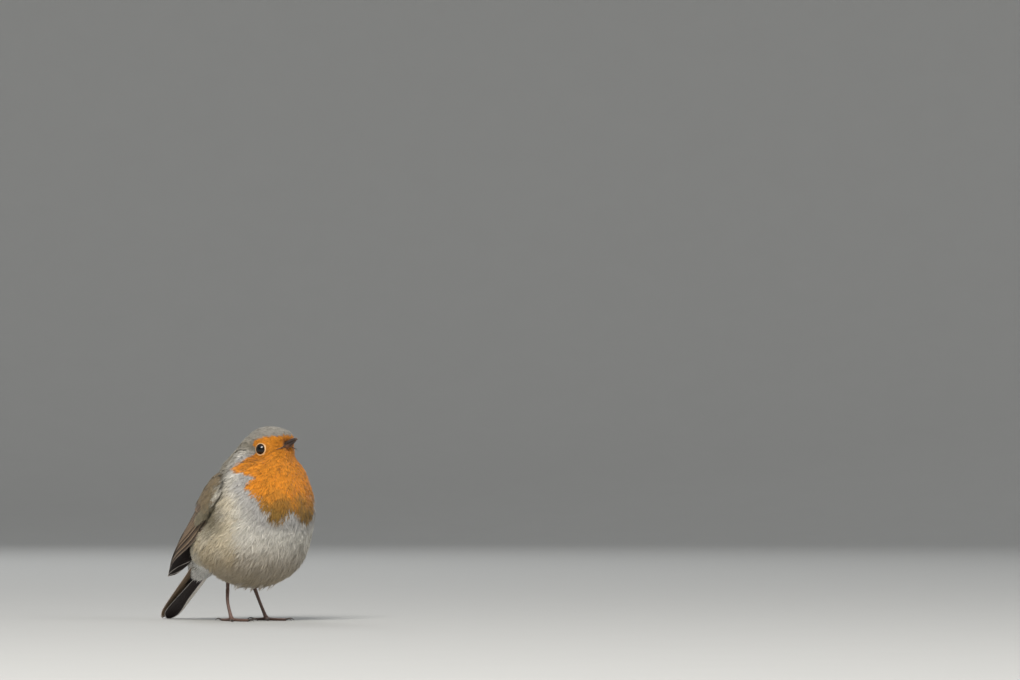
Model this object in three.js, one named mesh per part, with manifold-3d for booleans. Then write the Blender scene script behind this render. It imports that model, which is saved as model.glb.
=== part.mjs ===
// A European robin, life size, standing at rest with its plumage fluffed and its head tilted up.
// Millimetres, +Z up. The bird faces -Y and its left side is +X. Every solid reaches out to the tips
// of the feathers; single feathers, folds of skin and colours are made elsewhere.

import * as THREE from 'three';
import { LoftGeometry } from 'three/addons/geometries/LoftGeometry.js';
import { mergeVertices } from 'three/addons/utils/BufferGeometryUtils.js';
import Module from 'manifold-3d';

const wasm = await Module();
wasm.setup();

// ---- driving dimensions ----

const GAP = 0.3; // clearance between neighbouring pieces
const EDGE = 0.6; // thickness of the feathered edges of the wings and the tail
const BILL_LENGTH = 11.6; // of the lower half, from inside the feathers to its tip
const BILL_OVERHANG = 0.9; // how much longer the upper half is
const BILL_DROOP = 0.35; // how far the upper half's tip bends down
const BILL_DEPTH = 4.3;
const BILL_WIDTH = 4.8;
const EYE_RADIUS = 3.5;
const TAIL_LENGTH = 57;
const TAIL_WIDTH = 15.8;
const TAIL_THICKNESS = 2.2;
const SHANK_RADIUS = 0.8;
const TOE_RADIUS = 0.8;
const CLAW_RADIUS = 0.55;
const STANCE = 11.9; // each foot's distance from the middle plane

const BODY_DETAIL = 9; // subdivisions of the sphere that the trunk is drawn from
const HEAD_DETAIL = 8;
const RUMP_DETAIL = 6;
const CLEAR_DETAIL = 5; // of the coarser form that clears a seat for the wings and legs
const CLEAR_OFFSET = 0.5; // how far that form stands off the body

const COLOUR = {
  breast: 0xd0701c,
  belly: 0xb9b4a6,
  rump: 0x8c8472,
  thigh: 0xb3a994,
  wing: 0x6a5f4e,
  quill: 0x2e2521,
  tail: 0x33261f,
  bill: 0x2f2623,
  eye: 0x080607,
  leg: 0x4a3630,
  claw: 0x231b18,
};

// ---- frames ----

// A point from its distances to the bird's left, ahead of it and above the floor.
const place = (left, ahead, up) => new THREE.Vector3(left, -ahead, up);
const mirrored = (p) => new THREE.Vector3(-p.x, p.y, p.z);
const degrees = THREE.MathUtils.degToRad;

// A frame at a point, turned to the left by yaw and lifted by pitch.
function frame(at, yaw = 0, pitch = 0) {
  const angles = new THREE.Euler(-degrees(pitch), 0, degrees(yaw), 'ZYX');
  const turn = new THREE.Quaternion().setFromEuler(angles);
  return new THREE.Matrix4().compose(at, turn, new THREE.Vector3(1, 1, 1));
}

const BODY = frame(place(0, 0, 0));
const HEAD = frame(place(2.8, 14.7, 87.7), 4, 17);
const BILL = HEAD.clone().multiply(frame(place(0, 8, -0.4), 0, 9.5));
const TAIL_ROOT = frame(place(-0.6, -24, 39), 2.5, 42);

// ---- solids ----

function solidOf(geometry) {
  const bare = new THREE.BufferGeometry();
  bare.setAttribute('position', geometry.attributes.position);
  bare.setIndex(geometry.index);
  const merged = mergeVertices(bare, 1e-4);
  const vertProperties = new Float32Array(merged.attributes.position.array);
  const triVerts = new Uint32Array(merged.index.array);
  return new wasm.Manifold(new wasm.Mesh({ numProp: 3, vertProperties, triVerts }));
}

function geometryOf(solid) {
  const mesh = solid.getMesh();
  const geometry = new THREE.BufferGeometry();
  geometry.setAttribute('position', new THREE.BufferAttribute(mesh.vertProperties, 3));
  geometry.setIndex(new THREE.BufferAttribute(mesh.triVerts, 1));
  geometry.computeVertexNormals();
  return geometry;
}

// The largest body of a solid, without the slivers that a cut may leave.
const largest = (solid) => solid.decompose().reduce((a, b) => (b.volume() > a.volume() ? b : a));

const plane = (at, direction) => ({ at, normal: direction.normalize() });

// The part of a solid ahead of a plane (sign 1) or behind it (sign -1), set back by half a gap.
function beyond(solid, { at, normal }, sign = 1) {
  const facing = normal.clone().multiplyScalar(sign);
  return solid.trimByPlane(facing.toArray(), facing.dot(at) + GAP / 2);
}

const ball = (at, radius, detail = 2) =>
  solidOf(new THREE.IcosahedronGeometry(radius, detail).translate(at.x, at.y, at.z));

// A closed solid through rings of points; the rings may run round either way.
function loft(sections) {
  const middle = Math.floor(sections.length / 2);
  const ring = sections[middle];
  const facing = new THREE.Vector3();
  ring.forEach((p, i) => facing.add(p.clone().cross(ring[(i + 1) % ring.length])));
  const onward = new THREE.Vector3().subVectors(sections[middle][0], sections[middle - 1][0]);
  const rings = facing.dot(onward) > 0 ? sections : sections.map((points) => [...points].reverse());
  return solidOf(new LoftGeometry(rings, { capStart: true, capEnd: true }));
}

// A round tube along a smooth line through points, with a radius at each share of its length.
function tube(points, radiusAt, steps, sides) {
  const line = new THREE.CatmullRomCurve3(points);
  const frames = line.computeFrenetFrames(steps);
  const sections = Array.from({ length: steps + 1 }, (_, i) => {
    const centre = line.getPointAt(i / steps);
    const radius = radiusAt(i / steps);
    return Array.from({ length: sides }, (_, j) => {
      const turn = (j / sides) * 2 * Math.PI;
      return centre
        .clone()
        .addScaledVector(frames.normals[i], radius * Math.cos(turn))
        .addScaledVector(frames.binormals[i], radius * Math.sin(turn));
    });
  });
  return loft(sections);
}

// A blade of feathers between an upper and a lower edge, arched outward, thickest along its middle.
// Each station is [upper edge, lower edge, arch, thickness].
function blade(stations, steps, across) {
  const upper = new THREE.CatmullRomCurve3(stations.map((s) => s[0]));
  const lower = new THREE.CatmullRomCurve3(stations.map((s) => s[1]));
  const shape = new THREE.CatmullRomCurve3(stations.map((s) => new THREE.Vector3(s[2], s[3], 0)));
  const sections = Array.from({ length: steps + 1 }, (_, i) => {
    const t = i / steps;
    const top = upper.getPoint(t);
    const bottom = lower.getPoint(t);
    const { x: arch, y: thickness } = shape.getPoint(t);
    const along = upper.getTangent(t).add(lower.getTangent(t));
    const outward = along.cross(new THREE.Vector3().subVectors(bottom, top)).normalize();
    const point = (share, depth) => {
      const swell = 4 * share * (1 - share);
      const inset = depth * (EDGE + (thickness - EDGE) * Math.sqrt(swell));
      const onChord = new THREE.Vector3().lerpVectors(top, bottom, share);
      return onChord.addScaledVector(outward, arch * swell - inset);
    };
    const ring = [];
    for (let j = 0; j <= across; j++) ring.push(point(j / across, 0));
    for (let j = across; j >= 0; j--) ring.push(point(j / across, 1));
    return ring;
  });
  return loft(sections);
}

// ---- the body as one soft form, made of overlapping ellipsoids ----

// An ellipsoid given by its centre and its half sizes across, fore and aft, and up and down.
function mass(within, at, halfSizes, pitch = 0, blend = 9) {
  const toLocal = within.clone().multiply(frame(at, 0, pitch)).invert();
  return { toLocal, half: new THREE.Vector3(...halfSizes), blend };
}

const pair = (within, at, ...shape) => [
  mass(within, at, ...shape),
  mass(within, mirrored(at), ...shape),
];

const MASSES = [
  mass(BODY, place(0, 9.6, 58), [28.7, 27.5, 25]), // breast
  mass(BODY, place(0, 2, 40.5), [29.5, 28, 23]), // belly
  mass(BODY, place(0, -4, 60), [21.5, 24, 15], 50), // mantle
  mass(BODY, place(0.5, 11.8, 73), [21.7, 17.5, 13]), // shoulders
  mass(BODY, place(1.5, 16.8, 78.5), [14, 11, 9.5]), // throat
  mass(BODY, place(0.8, 5.4, 80.8), [14, 13.3, 11.4]), // nape
  mass(BODY, place(0, -19, 42), [15, 21, 12.5], 42), // rump
  ...pair(BODY, place(12.5, -7, 39), [14.5, 18, 12], 25), // flanks
  mass(BODY, place(0, -33, 29.5), [9, 15, 6.5], 41, 6), // feathers under the tail
  mass(HEAD, place(0, -3.2, 1.2), [12.2, 15, 13.5], 0, 5), // skull
  mass(HEAD, place(0, 2, -4.5), [9.7, 8.5, 8], 0, 4), // cheeks and chin
  mass(HEAD, place(0, 3.8, 4.8), [8.6, 8.8, 6.6], 0, 3), // forehead
  mass(HEAD, place(0, 6.4, -0.2), [5.2, 6.2, 4.4], 0, 3), // lores, reaching the bill
];

const local = new THREE.Vector3();
const scaled = new THREE.Vector3();

// Roughly how far a point is outside the body's surface.
function distance(point) {
  let nearest = Infinity;
  for (const { toLocal, half, blend } of MASSES) {
    local.copy(point).applyMatrix4(toLocal);
    const reach = scaled.copy(local).divide(half).length();
    const slope = scaled.divide(half).length();
    const here = (reach * (reach - 1)) / Math.max(slope, 1e-9);
    const near = Math.max(blend - Math.abs(nearest - here), 0) / blend;
    nearest = nearest === Infinity ? here : Math.min(nearest, here) - (near * near * blend) / 4;
  }
  return nearest;
}

// How far along a ray from inside the body its surface, swollen by an offset, is first crossed.
const STRIDE = 0.4;
function reachOfBody(centre, ray, offset) {
  const at = new THREE.Vector3();
  const outside = (r) => distance(at.copy(ray).multiplyScalar(r).add(centre)) > offset;
  let high = STRIDE;
  while (!outside(high)) high += STRIDE;
  let low = high - STRIDE;
  for (let halving = 0; halving < 12; halving++) {
    const between = (low + high) / 2;
    if (outside(between)) high = between;
    else low = between;
  }
  return low;
}

// The body's surface, swollen by an offset, as seen from a point inside it.
function bodySeenFrom(centre, detail, offset = 0) {
  const geometry = new THREE.IcosahedronGeometry(1, detail);
  const position = geometry.attributes.position;
  const ray = new THREE.Vector3();
  for (let i = 0; i < position.count; i++) {
    ray.fromBufferAttribute(position, i).normalize();
    ray.multiplyScalar(reachOfBody(centre, ray, offset)).add(centre);
    position.setXYZ(i, ray.x, ray.y, ray.z);
  }
  return solidOf(geometry);
}

// ---- the robin ----

const robin = new THREE.Group();

function add(name, solid, colour, roughness = 0.85) {
  const material = new THREE.MeshStandardMaterial({ color: colour, roughness, metalness: 0 });
  const mesh = new THREE.Mesh(geometryOf(largest(solid)), material);
  mesh.name = name;
  robin.add(mesh);
}

const CORE = place(0, 4, 50);
const HEAD_CORE = place(2, 13.6, 86);
const RUMP_CORE = place(0, -24, 36);
const headPlane = plane(place(2, 11, 81), place(0, 0.35, 0.94));
const neckPlane = plane(place(1, 8, 72), place(0, 0.4, 0.9));
const rumpPlane = plane(place(0, -22, 40), place(0, -0.85, -0.5));

const trunkForm = bodySeenFrom(CORE, BODY_DETAIL);
const headForm = bodySeenFrom(HEAD_CORE, HEAD_DETAIL);
const rumpForm = bodySeenFrom(RUMP_CORE, RUMP_DETAIL);
const clearOfHead = bodySeenFrom(HEAD_CORE, HEAD_DETAIL, GAP);
const clearOfRump = bodySeenFrom(RUMP_CORE, RUMP_DETAIL, GAP);
const clearOfTrunk = bodySeenFrom(CORE, CLEAR_DETAIL, CLEAR_OFFSET);

// Head, with a socket for each eye.
const EYE_SEAT = [9.45, 2.6, 0.8]; // to the side, ahead and up from the middle of the head
const eyeAt = (sign) => place(sign * EYE_SEAT[0], EYE_SEAT[1], EYE_SEAT[2]).applyMatrix4(HEAD);
const sockets = ball(eyeAt(1), EYE_RADIUS + GAP).add(ball(eyeAt(-1), EYE_RADIUS + GAP));
add('head', beyond(headForm, headPlane).subtract(sockets), COLOUR.breast);
add('eye_left', ball(eyeAt(1), EYE_RADIUS), COLOUR.eye, 0.08);
add('eye_right', ball(eyeAt(-1), EYE_RADIUS), COLOUR.eye, 0.08);

// Bill: each half is an arch standing on the flat where the two meet.
const BILL_PROFILE = [
  // share of the length, half width and height as shares of the bill's width and depth
  [0, 0.5, 0.54],
  [0.3, 0.45, 0.5],
  [0.55, 0.33, 0.41],
  [0.78, 0.2, 0.29],
  [0.93, 0.1, 0.16],
  [1, 0.045, 0.06],
];
const ARCH_STEPS = 10;
function billHalf(sign, length, droop) {
  const sections = BILL_PROFILE.map(([share, widthShare, heightShare]) =>
    Array.from({ length: ARCH_STEPS + 1 }, (_, j) => {
      const turn = (j / ARCH_STEPS) * Math.PI;
      const side = widthShare * BILL_WIDTH * Math.cos(turn);
      const height = GAP / 2 + heightShare * BILL_DEPTH * Math.sin(turn);
      return place(side, share * length, sign * height - droop * share ** 4).applyMatrix4(BILL);
    }),
  );
  return loft(sections).subtract(clearOfHead);
}
add('bill_upper', billHalf(1, BILL_LENGTH + BILL_OVERHANG, BILL_DROOP), COLOUR.bill, 0.45);
add('bill_lower', billHalf(-1, BILL_LENGTH, 0), COLOUR.bill, 0.45);

// Neck, trunk and rump.
add('neck', beyond(beyond(trunkForm, headPlane, -1), neckPlane), COLOUR.breast);
add('trunk', beyond(beyond(trunkForm, neckPlane, -1), rumpPlane, -1), COLOUR.belly);
add('rump', beyond(rumpForm, rumpPlane), COLOUR.rump);

// Tail, from its root to its tip.
const TAIL_PROFILE = [
  // share of the length, half width as a share, arch, thickness as a share
  [0, 0.2, 0.6, 1],
  [0.25, 0.34, 1, 1],
  [0.5, 0.43, 1.3, 0.9],
  [0.75, 0.49, 1.4, 0.8],
  [0.88, 0.5, 1.2, 0.75],
  [0.96, 0.39, 0.8, 0.7],
  [1, 0.22, 0.4, 0.65],
];
const tailStations = TAIL_PROFILE.map(([share, halfWidth, arch, thickness]) => {
  const edge = (sign) =>
    place(sign * halfWidth * TAIL_WIDTH, -share * TAIL_LENGTH, 0).applyMatrix4(TAIL_ROOT);
  return [edge(1), edge(-1), arch, thickness * TAIL_THICKNESS];
});
const tail = blade(tailStations, 12, 6);
add('tail', tail.subtract(clearOfRump).subtract(clearOfTrunk), COLOUR.tail, 0.7);

// Wings, folded and hanging a little: stations of the right one from the bend to its tip.
const WING = [
  [place(-23.5, 8, 76.5), place(-25, 9.3, 74.3), 0.8, 1.5],
  [place(-21.5, 3, 78.4), place(-27, 10.4, 70), 2.4, 3],
  [place(-19.5, -4, 76), place(-29.3, 8, 64.5), 3.8, 4],
  [place(-17.5, -14, 67.5), place(-30.5, 2, 57), 4, 5],
  [place(-15.8, -20, 58), place(-31, -6, 49), 4.4, 5],
  [place(-15.2, -25, 49.5), place(-31.2, -13, 42.5), 5, 4.2],
  [place(-14.8, -29, 43), place(-31, -20, 37), 5, 3.4],
  [place(-14.8, -32, 37), place(-30.3, -27, 31.5), 4.2, 2.8],
  [place(-16, -35, 31.5), place(-28.5, -32.5, 27), 2.8, 2.2],
  [place(-18.5, -37.5, 27), place(-26.5, -36, 24.6), 1.5, 1.6],
  [place(-21, -38.6, 24.3), place(-24.2, -38.2, 23.7), 0.5, 1],
];
const wingBlade = blade(WING, 15, 6);
for (const [side, sign] of [['right', -1], ['left', 1]]) {
  const whole = sign < 0 ? wingBlade : wingBlade.mirror([1, 0, 0]);
  const wing = whole.subtract(clearOfTrunk).subtract(clearOfRump);
  const quillPlane = plane(place(sign * 24, -20, 42), place(sign * 0.1, -0.72, -0.69));
  add(`wing_${side}`, beyond(wing, quillPlane, -1), COLOUR.wing);
  add(`primaries_${side}`, beyond(wing, quillPlane), COLOUR.quill);
}

// Legs: a cuff of feathers, the bare shank down to the pad of the foot, four toes and their claws.
const ANKLE_OUT = { right: 8.4, left: 10.3 }; // the weight leans a little over the left leg
const ANKLE_AHEAD = -8.2;
const SHANK_TOP = 17;
const CUFF_RISE = 8; // how far the cuff runs up into the belly
const CUFF_RADIUS = 4;
const CUFF_END = 1.4; // its radius where the shank begins
const SHIN = [10.9, -5.2, 10]; // a point half way down the shank
const PAD = [STANCE, -1, 1.5];
const PAD_RADIUS = 1.3;
const TOE_START = 3; // where each toe leaves the pad
const TOE_LIFT = 0.62; // height of a toe's middle line, less than its radius: it stands on a flat
const TOES = {
  // degrees outward from straight ahead, length, claw length
  inner: [-34, 10.5, 4.2],
  middle: [3, 15, 4.6],
  outer: [38, 11, 4.2],
  hind: [184, 8.5, 6],
};
const cuffRadius = (t) => CUFF_RADIUS + (CUFF_END - CUFF_RADIUS) * t;
const shankRadius = (t) => SHANK_RADIUS * (1 + 0.3 * (1 - t) ** 4 + 0.35 * t ** 6);
for (const [side, sign] of [['right', -1], ['left', 1]]) {
  const at = (out, ahead, up) => place(sign * out, ahead, up);
  const ankle = (ahead, up) => at(ANKLE_OUT[side], ANKLE_AHEAD + ahead, SHANK_TOP + up);
  const cuff = tube([ankle(-1.2, CUFF_RISE), ankle(0, 0)], cuffRadius, 4, 10);
  add(`thigh_${side}`, cuff.subtract(clearOfTrunk), COLOUR.thigh);

  const shank = tube([ankle(0, -2 * GAP), at(...SHIN), at(...PAD)], shankRadius, 6, 8);
  let foot = shank.add(ball(at(...PAD), PAD_RADIUS, 1));
  for (const [name, [turn, length, claw]] of Object.entries(TOES)) {
    const heading = degrees(turn);
    const out = (reach, up) =>
      at(PAD[0] + Math.sin(heading) * reach, PAD[1] + Math.cos(heading) * reach, up);
    const line = [
      out(0, 2 * TOE_LIFT),
      out(TOE_START, TOE_LIFT + 0.1),
      out(length * 0.6, TOE_LIFT),
      out(length, TOE_LIFT),
    ];
    const toe = tube(line, (t) => TOE_RADIUS * (1.05 - 0.3 * t), 5, 7);
    const start = plane(out(TOE_START, 0), out(1, 0).sub(out(0, 0)));
    foot = foot.add(beyond(toe, start, -1));
    add(`toe_${name}_${side}`, beyond(toe, start).trimByPlane([0, 0, 1], 0), COLOUR.leg, 0.5);
    const talon = [
      out(length + GAP, 0.75),
      out(length + claw * 0.55, 1.25),
      out(length + claw, 0.25),
    ];
    add(`claw_${name}_${side}`, tube(talon, (t) => CLAW_RADIUS - 0.45 * t, 5, 5), COLOUR.claw, 0.4);
  }
  add(`tarsus_${side}`, foot.trimByPlane([0, 0, 1], 0), COLOUR.leg, 0.5);
}

// The model stands on the floor with the middle of its bounding box over the origin.
const bounds = new THREE.Box3().setFromObject(robin);
const centre = bounds.getCenter(new THREE.Vector3());
robin.position.set(-centre.x, -centre.y, -bounds.min.z);

export default robin;
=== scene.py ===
# A European robin, life size: skin, plumage, wings, tail, bill, eyes and legs, made around a fixed
# frame of solids. The bird faces -Y, its left side is +X and +Z is up. The making works in
# millimetres, and a mesh is turned into metres when it is built.

import math

import bpy
import numpy as np
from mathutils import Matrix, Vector
from mathutils.bvhtree import BVHTree


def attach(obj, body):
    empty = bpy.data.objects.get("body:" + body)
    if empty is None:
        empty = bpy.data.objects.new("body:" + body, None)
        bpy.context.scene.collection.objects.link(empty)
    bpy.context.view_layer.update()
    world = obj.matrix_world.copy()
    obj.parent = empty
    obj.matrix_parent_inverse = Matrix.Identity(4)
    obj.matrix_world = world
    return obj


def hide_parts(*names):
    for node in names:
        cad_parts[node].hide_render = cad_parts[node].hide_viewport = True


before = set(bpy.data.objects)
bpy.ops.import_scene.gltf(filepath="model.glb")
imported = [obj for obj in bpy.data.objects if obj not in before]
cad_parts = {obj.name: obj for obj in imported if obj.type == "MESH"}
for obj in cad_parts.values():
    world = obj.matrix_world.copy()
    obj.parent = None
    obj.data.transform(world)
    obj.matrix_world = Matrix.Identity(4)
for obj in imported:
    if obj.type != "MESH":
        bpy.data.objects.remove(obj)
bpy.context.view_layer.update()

bl_info = {
    "name": "European robin",
    "version": (1, 0, 0),
    "blender": (4, 5, 0),
    "location": "3D View > Sidebar > Robin",
    "description": "Dresses the solids of a robin in skin, feathers, horn and eyes",
    "category": "Object",
}

MM = 0.001
SIDES = {"left": 1, "right": -1}


# ---- sizes and colours that a user would change ----

def length_setting(name, description, millimetres):
    """A length that the panel shows."""
    return bpy.props.FloatProperty(
        name=name, description=description, default=millimetres * MM, unit="LENGTH", precision=4)


def count_setting(name, description, default):
    """A count that the panel shows."""
    return bpy.props.IntProperty(name=name, description=description, default=default, min=1)


def colour_setting(name, description, red, green, blue):
    """A colour that the panel shows."""
    return bpy.props.FloatVectorProperty(
        name=name, description=description, default=(red, green, blue),
        subtype="COLOR", size=3, min=0, max=1)


class RobinSizes(bpy.types.PropertyGroup):
    coat_body: length_setting("Coat on the body", "From the skin to the tips on the trunk", 3.0)
    coat_face: length_setting("Coat on the face", "From the skin to the tips by the bill", 0.7)
    voxel: length_setting("Skin fineness", "Size of the cells that the skin is remeshed with", 0.9)
    vane_thickness: length_setting("Vane thickness", "Thickness of a wing or tail feather", 0.12)
    face_barbs: count_setting("Barbs on the head", "Barbs on each side of a feather of the head", 13)
    body_barbs: count_setting("Barbs on the body", "Barbs on each side of a feather of the body", 23)


class RobinColours(bpy.types.PropertyGroup):
    orange: colour_setting("Orange", "Face, throat and breast", 0.70, 0.255, 0.014)
    gold: colour_setting("Gold", "Tips of the lowest breast feathers", 0.27, 0.15, 0.03)
    # ember is painted shade: the colour that shade takes in the gaps of the orange coat
    ember_shade: colour_setting("Ember_shade", "Hidden bases of the orange feathers", 0.26, 0.075, 0.012)
    belly: colour_setting("Belly", "Off-white of the belly", 0.68, 0.65, 0.58)
    white: colour_setting("White", "Feathers under the tail", 0.86, 0.84, 0.80)
    grey: colour_setting("Blue-grey", "Band round the breast and over the forehead", 0.44, 0.425, 0.405)
    # the buff is the flanks' own wash, and painted shade low between the legs
    buff: colour_setting("Buff", "Wash on the flanks", 0.60, 0.51, 0.34)
    olive: colour_setting("Olive", "Crown, nape and back", 0.215, 0.185, 0.12)
    # the brown is the shoulders' own colour, and painted shade low on the belly's front
    brown: colour_setting("Brown", "Small feathers of the shoulders and wings", 0.26, 0.185, 0.10)
    # dusk is partly the feathers' real grey bases and partly painted shade in the gaps between them
    dusk: colour_setting("Dusk", "Hidden bases of the feathers", 0.07, 0.068, 0.066)
    wing: colour_setting("Wing brown", "Webs of the wing feathers", 0.105, 0.074, 0.05)
    # the fringe's tan is also painted light on the undersides of the right tail feathers
    fringe: colour_setting("Fringe", "Outer edges of the wing and tail feathers", 0.30, 0.21, 0.135)
    # the dark web is also painted shade on the undersides of the wing and tail feathers
    dark_web_and_shade: colour_setting("Dark web", "Inner webs and undersides of wing and tail", 0.026, 0.017, 0.015)
    # the rim is painted rim light, not a colour of the feathers
    rim: colour_setting("Rim", "Pale edges of the wing and tail feathers beneath", 0.90, 0.83, 0.77)
    horn: colour_setting("Horn", "Bill", 0.040, 0.030, 0.027)
    leg: colour_setting("Leg", "Scaled skin of the legs", 0.105, 0.058, 0.042)
    claw: colour_setting("Claw", "Claws", 0.035, 0.026, 0.022)
    lid: colour_setting("Lid", "Rim of bare skin round the eye", 0.80, 0.50, 0.24)
    floor: colour_setting("Floor", "Floor and backdrop", 0.50, 0.50, 0.485)


# ---- sums on arrays of points ----

def unit(vectors):
    """Vectors of length 1 that point the same ways."""
    return vectors / np.maximum(np.linalg.norm(vectors, axis=-1, keepdims=True), 1e-9)


def smooth(low, high, x):
    """A share that goes softly from 0 at low to 1 at high."""
    t = np.clip((x - low) / (high - low), 0, 1)
    return t * t * (3 - 2 * t)


def by_table(x, table):
    """The value at x from a table of places and values, in straight runs between them."""
    places, values = zip(*table)
    return np.interp(x, places, values)


def everywhere(value):
    """A function of points that gives each the same value."""
    return lambda points: np.full(len(points), value)


def ripple(points, pitch, seed):
    """Soft noise from about -1 to 1, whose features are about pitch apart."""
    count = 7
    peak = 3.2  # what that many waves usually add up to where they meet
    rng = np.random.default_rng(seed)
    waves = unit(rng.normal(size=(count, 3))) * (2 * np.pi / pitch) * rng.uniform(0.6, 1.4, (count, 1))
    return np.sin(points @ waves.T + rng.uniform(0, 2 * np.pi, count)).sum(-1) / peak


def at_share(values, share):
    """Values[i] at each share of the way along row i, going on straight past its ends."""
    rows, steps = values.shape[:2]
    place = share * (steps - 1)
    low = np.clip(np.floor(place).astype(int), 0, steps - 2)
    part = (place - low)[..., None]
    row = np.arange(rows).reshape(-1, *[1] * (share.ndim - 1))
    return values[row, low] * (1 - part) + values[row, low + 1] * part


# ---- the frame's landmarks, in millimetres ----

def corners(*nodes):
    """The points of the frame's nodes."""
    found = []
    for node in nodes:
        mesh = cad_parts[node].data
        points = np.empty(len(mesh.vertices) * 3, np.float32)
        mesh.vertices.foreach_get("co", points)
        found.append(points.reshape(-1, 3).astype(float) / MM)
    return np.concatenate(found)


def triangles(node):
    """The triangles of one of the frame's nodes, as numbers of its points."""
    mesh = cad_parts[node].data
    mesh.calc_loop_triangles()
    found = np.empty(len(mesh.loop_triangles) * 3, np.int32)
    mesh.loop_triangles.foreach_get("vertices", found)
    return found.reshape(-1, 3)


def middle(*nodes):
    """The middle of the box round nodes."""
    points = corners(*nodes)
    return (points.min(0) + points.max(0)) / 2


EYES = {side: middle(f"eye_{side}") for side in SIDES}
HEAD_MIDDLE = (EYES["left"] + EYES["right"]) / 2
BILL = corners("bill_upper", "bill_lower")
BILL_TIP = BILL[np.argmax(np.linalg.norm(BILL - HEAD_MIDDLE, axis=1))]
_near_first = BILL[np.argsort(np.linalg.norm(BILL - HEAD_MIDDLE, axis=1))]
BILL_ROOT = _near_first[: len(BILL) // 3].mean(0)
HEAD_SIDE = unit(EYES["left"] - EYES["right"])
HEAD_UP = unit(np.cross(HEAD_SIDE, HEAD_MIDDLE - BILL_ROOT))
HEAD_AHEAD = np.cross(HEAD_UP, HEAD_SIDE) * -1

BILL_PITCH = math.radians(9.5)  # how far the bill points up from the head's own level
BILL_AHEAD = HEAD_AHEAD * math.cos(BILL_PITCH) + HEAD_UP * math.sin(BILL_PITCH)
BILL_UP = HEAD_UP * math.cos(BILL_PITCH) - HEAD_AHEAD * math.sin(BILL_PITCH)

TAIL = corners("tail")
TAIL_MIDDLE = (TAIL.min(0) + TAIL.max(0)) / 2
_long, _wide = np.linalg.svd(TAIL - TAIL.mean(0), full_matrices=False)[2][:2]
TAIL_BACK = _long * -np.sign(_long[2])
TAIL_LEFT = _wide * np.sign(_wide[0])
TAIL_UP = np.cross(TAIL_BACK, TAIL_LEFT)
TAIL_UP *= np.sign(TAIL_UP[2])
TAIL_TIP = TAIL_MIDDLE + TAIL_BACK * ((TAIL - TAIL_MIDDLE) @ TAIL_BACK).max()
TAIL_ROOT = TAIL_TIP - TAIL_BACK * np.ptp(TAIL @ TAIL_BACK)

ANKLES = {}
for _side in SIDES:
    _thigh = corners(f"thigh_{_side}")
    ANKLES[_side] = _thigh[_thigh[:, 2] < _thigh[:, 2].min() + 0.5].mean(0)

TUCK = 5.2  # how much higher than the frame's solids the plumage ends behind the legs
CUFFS = {side: ankle + [0, 0, TUCK] for side, ankle in ANKLES.items()}

AXIS_Y = middle("trunk")[1]
BODY_CORE = np.array([0, AXIS_Y, 52.0])
HEAD_CORE = np.array([HEAD_MIDDLE[0], HEAD_MIDDLE[1] + 2, HEAD_MIDDLE[2] - 2])


# ---- building meshes ----

def piece(name, points, faces, material, slot, values=None, uv=None):
    """A mesh object from points in millimetres, which rides with the bird."""
    mesh = bpy.data.meshes.new(name)
    faces = np.asarray(faces, np.int32)
    sides = faces.shape[1]
    mesh.vertices.add(len(points))
    mesh.vertices.foreach_set("co", (np.asarray(points) * MM).astype(np.float32).ravel())
    mesh.loops.add(faces.size)
    mesh.loops.foreach_set("vertex_index", faces.ravel())
    mesh.polygons.add(len(faces))
    mesh.polygons.foreach_set("loop_start", np.arange(0, faces.size, sides, dtype=np.int32))
    for key, value in (values or {}).items():
        layer = mesh.attributes.new(key, "FLOAT", "POINT")
        layer.data.foreach_set("value", np.asarray(value, np.float32).ravel())
    if uv is not None:
        layer = mesh.uv_layers.new(name="OFBake")
        layer.uv.foreach_set("vector", np.asarray(uv, np.float32)[faces.ravel()].ravel())
    mesh.update(calc_edges=True)
    mesh.polygons.foreach_set("use_smooth", np.full(len(faces), True))
    mesh.materials.append(material)
    made = bpy.data.objects.new(name, mesh)
    bpy.context.scene.collection.objects.link(made)
    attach(made, "root")
    return made


def grid_faces(rows, columns, round_the_columns=False):
    """Quads over a grid of points that is stored row by row."""
    i, j = np.meshgrid(np.arange(rows - 1), np.arange(columns - (not round_the_columns)), indexing="ij")
    k = (j + 1) % columns
    return np.stack([i * columns + j, i * columns + k, (i + 1) * columns + k, (i + 1) * columns + j],
                    -1).reshape(-1, 4)


def capped(rows, columns):
    """Quads over a tube of points that is stored ring by ring, with both of its ends shut."""
    k = np.arange(columns // 2 - 1)
    cap = np.stack([k, k + 1, columns - 2 - k, columns - 1 - k], -1)
    return np.concatenate([grid_faces(rows, columns, True), cap[:, ::-1], cap + (rows - 1) * columns])


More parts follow.
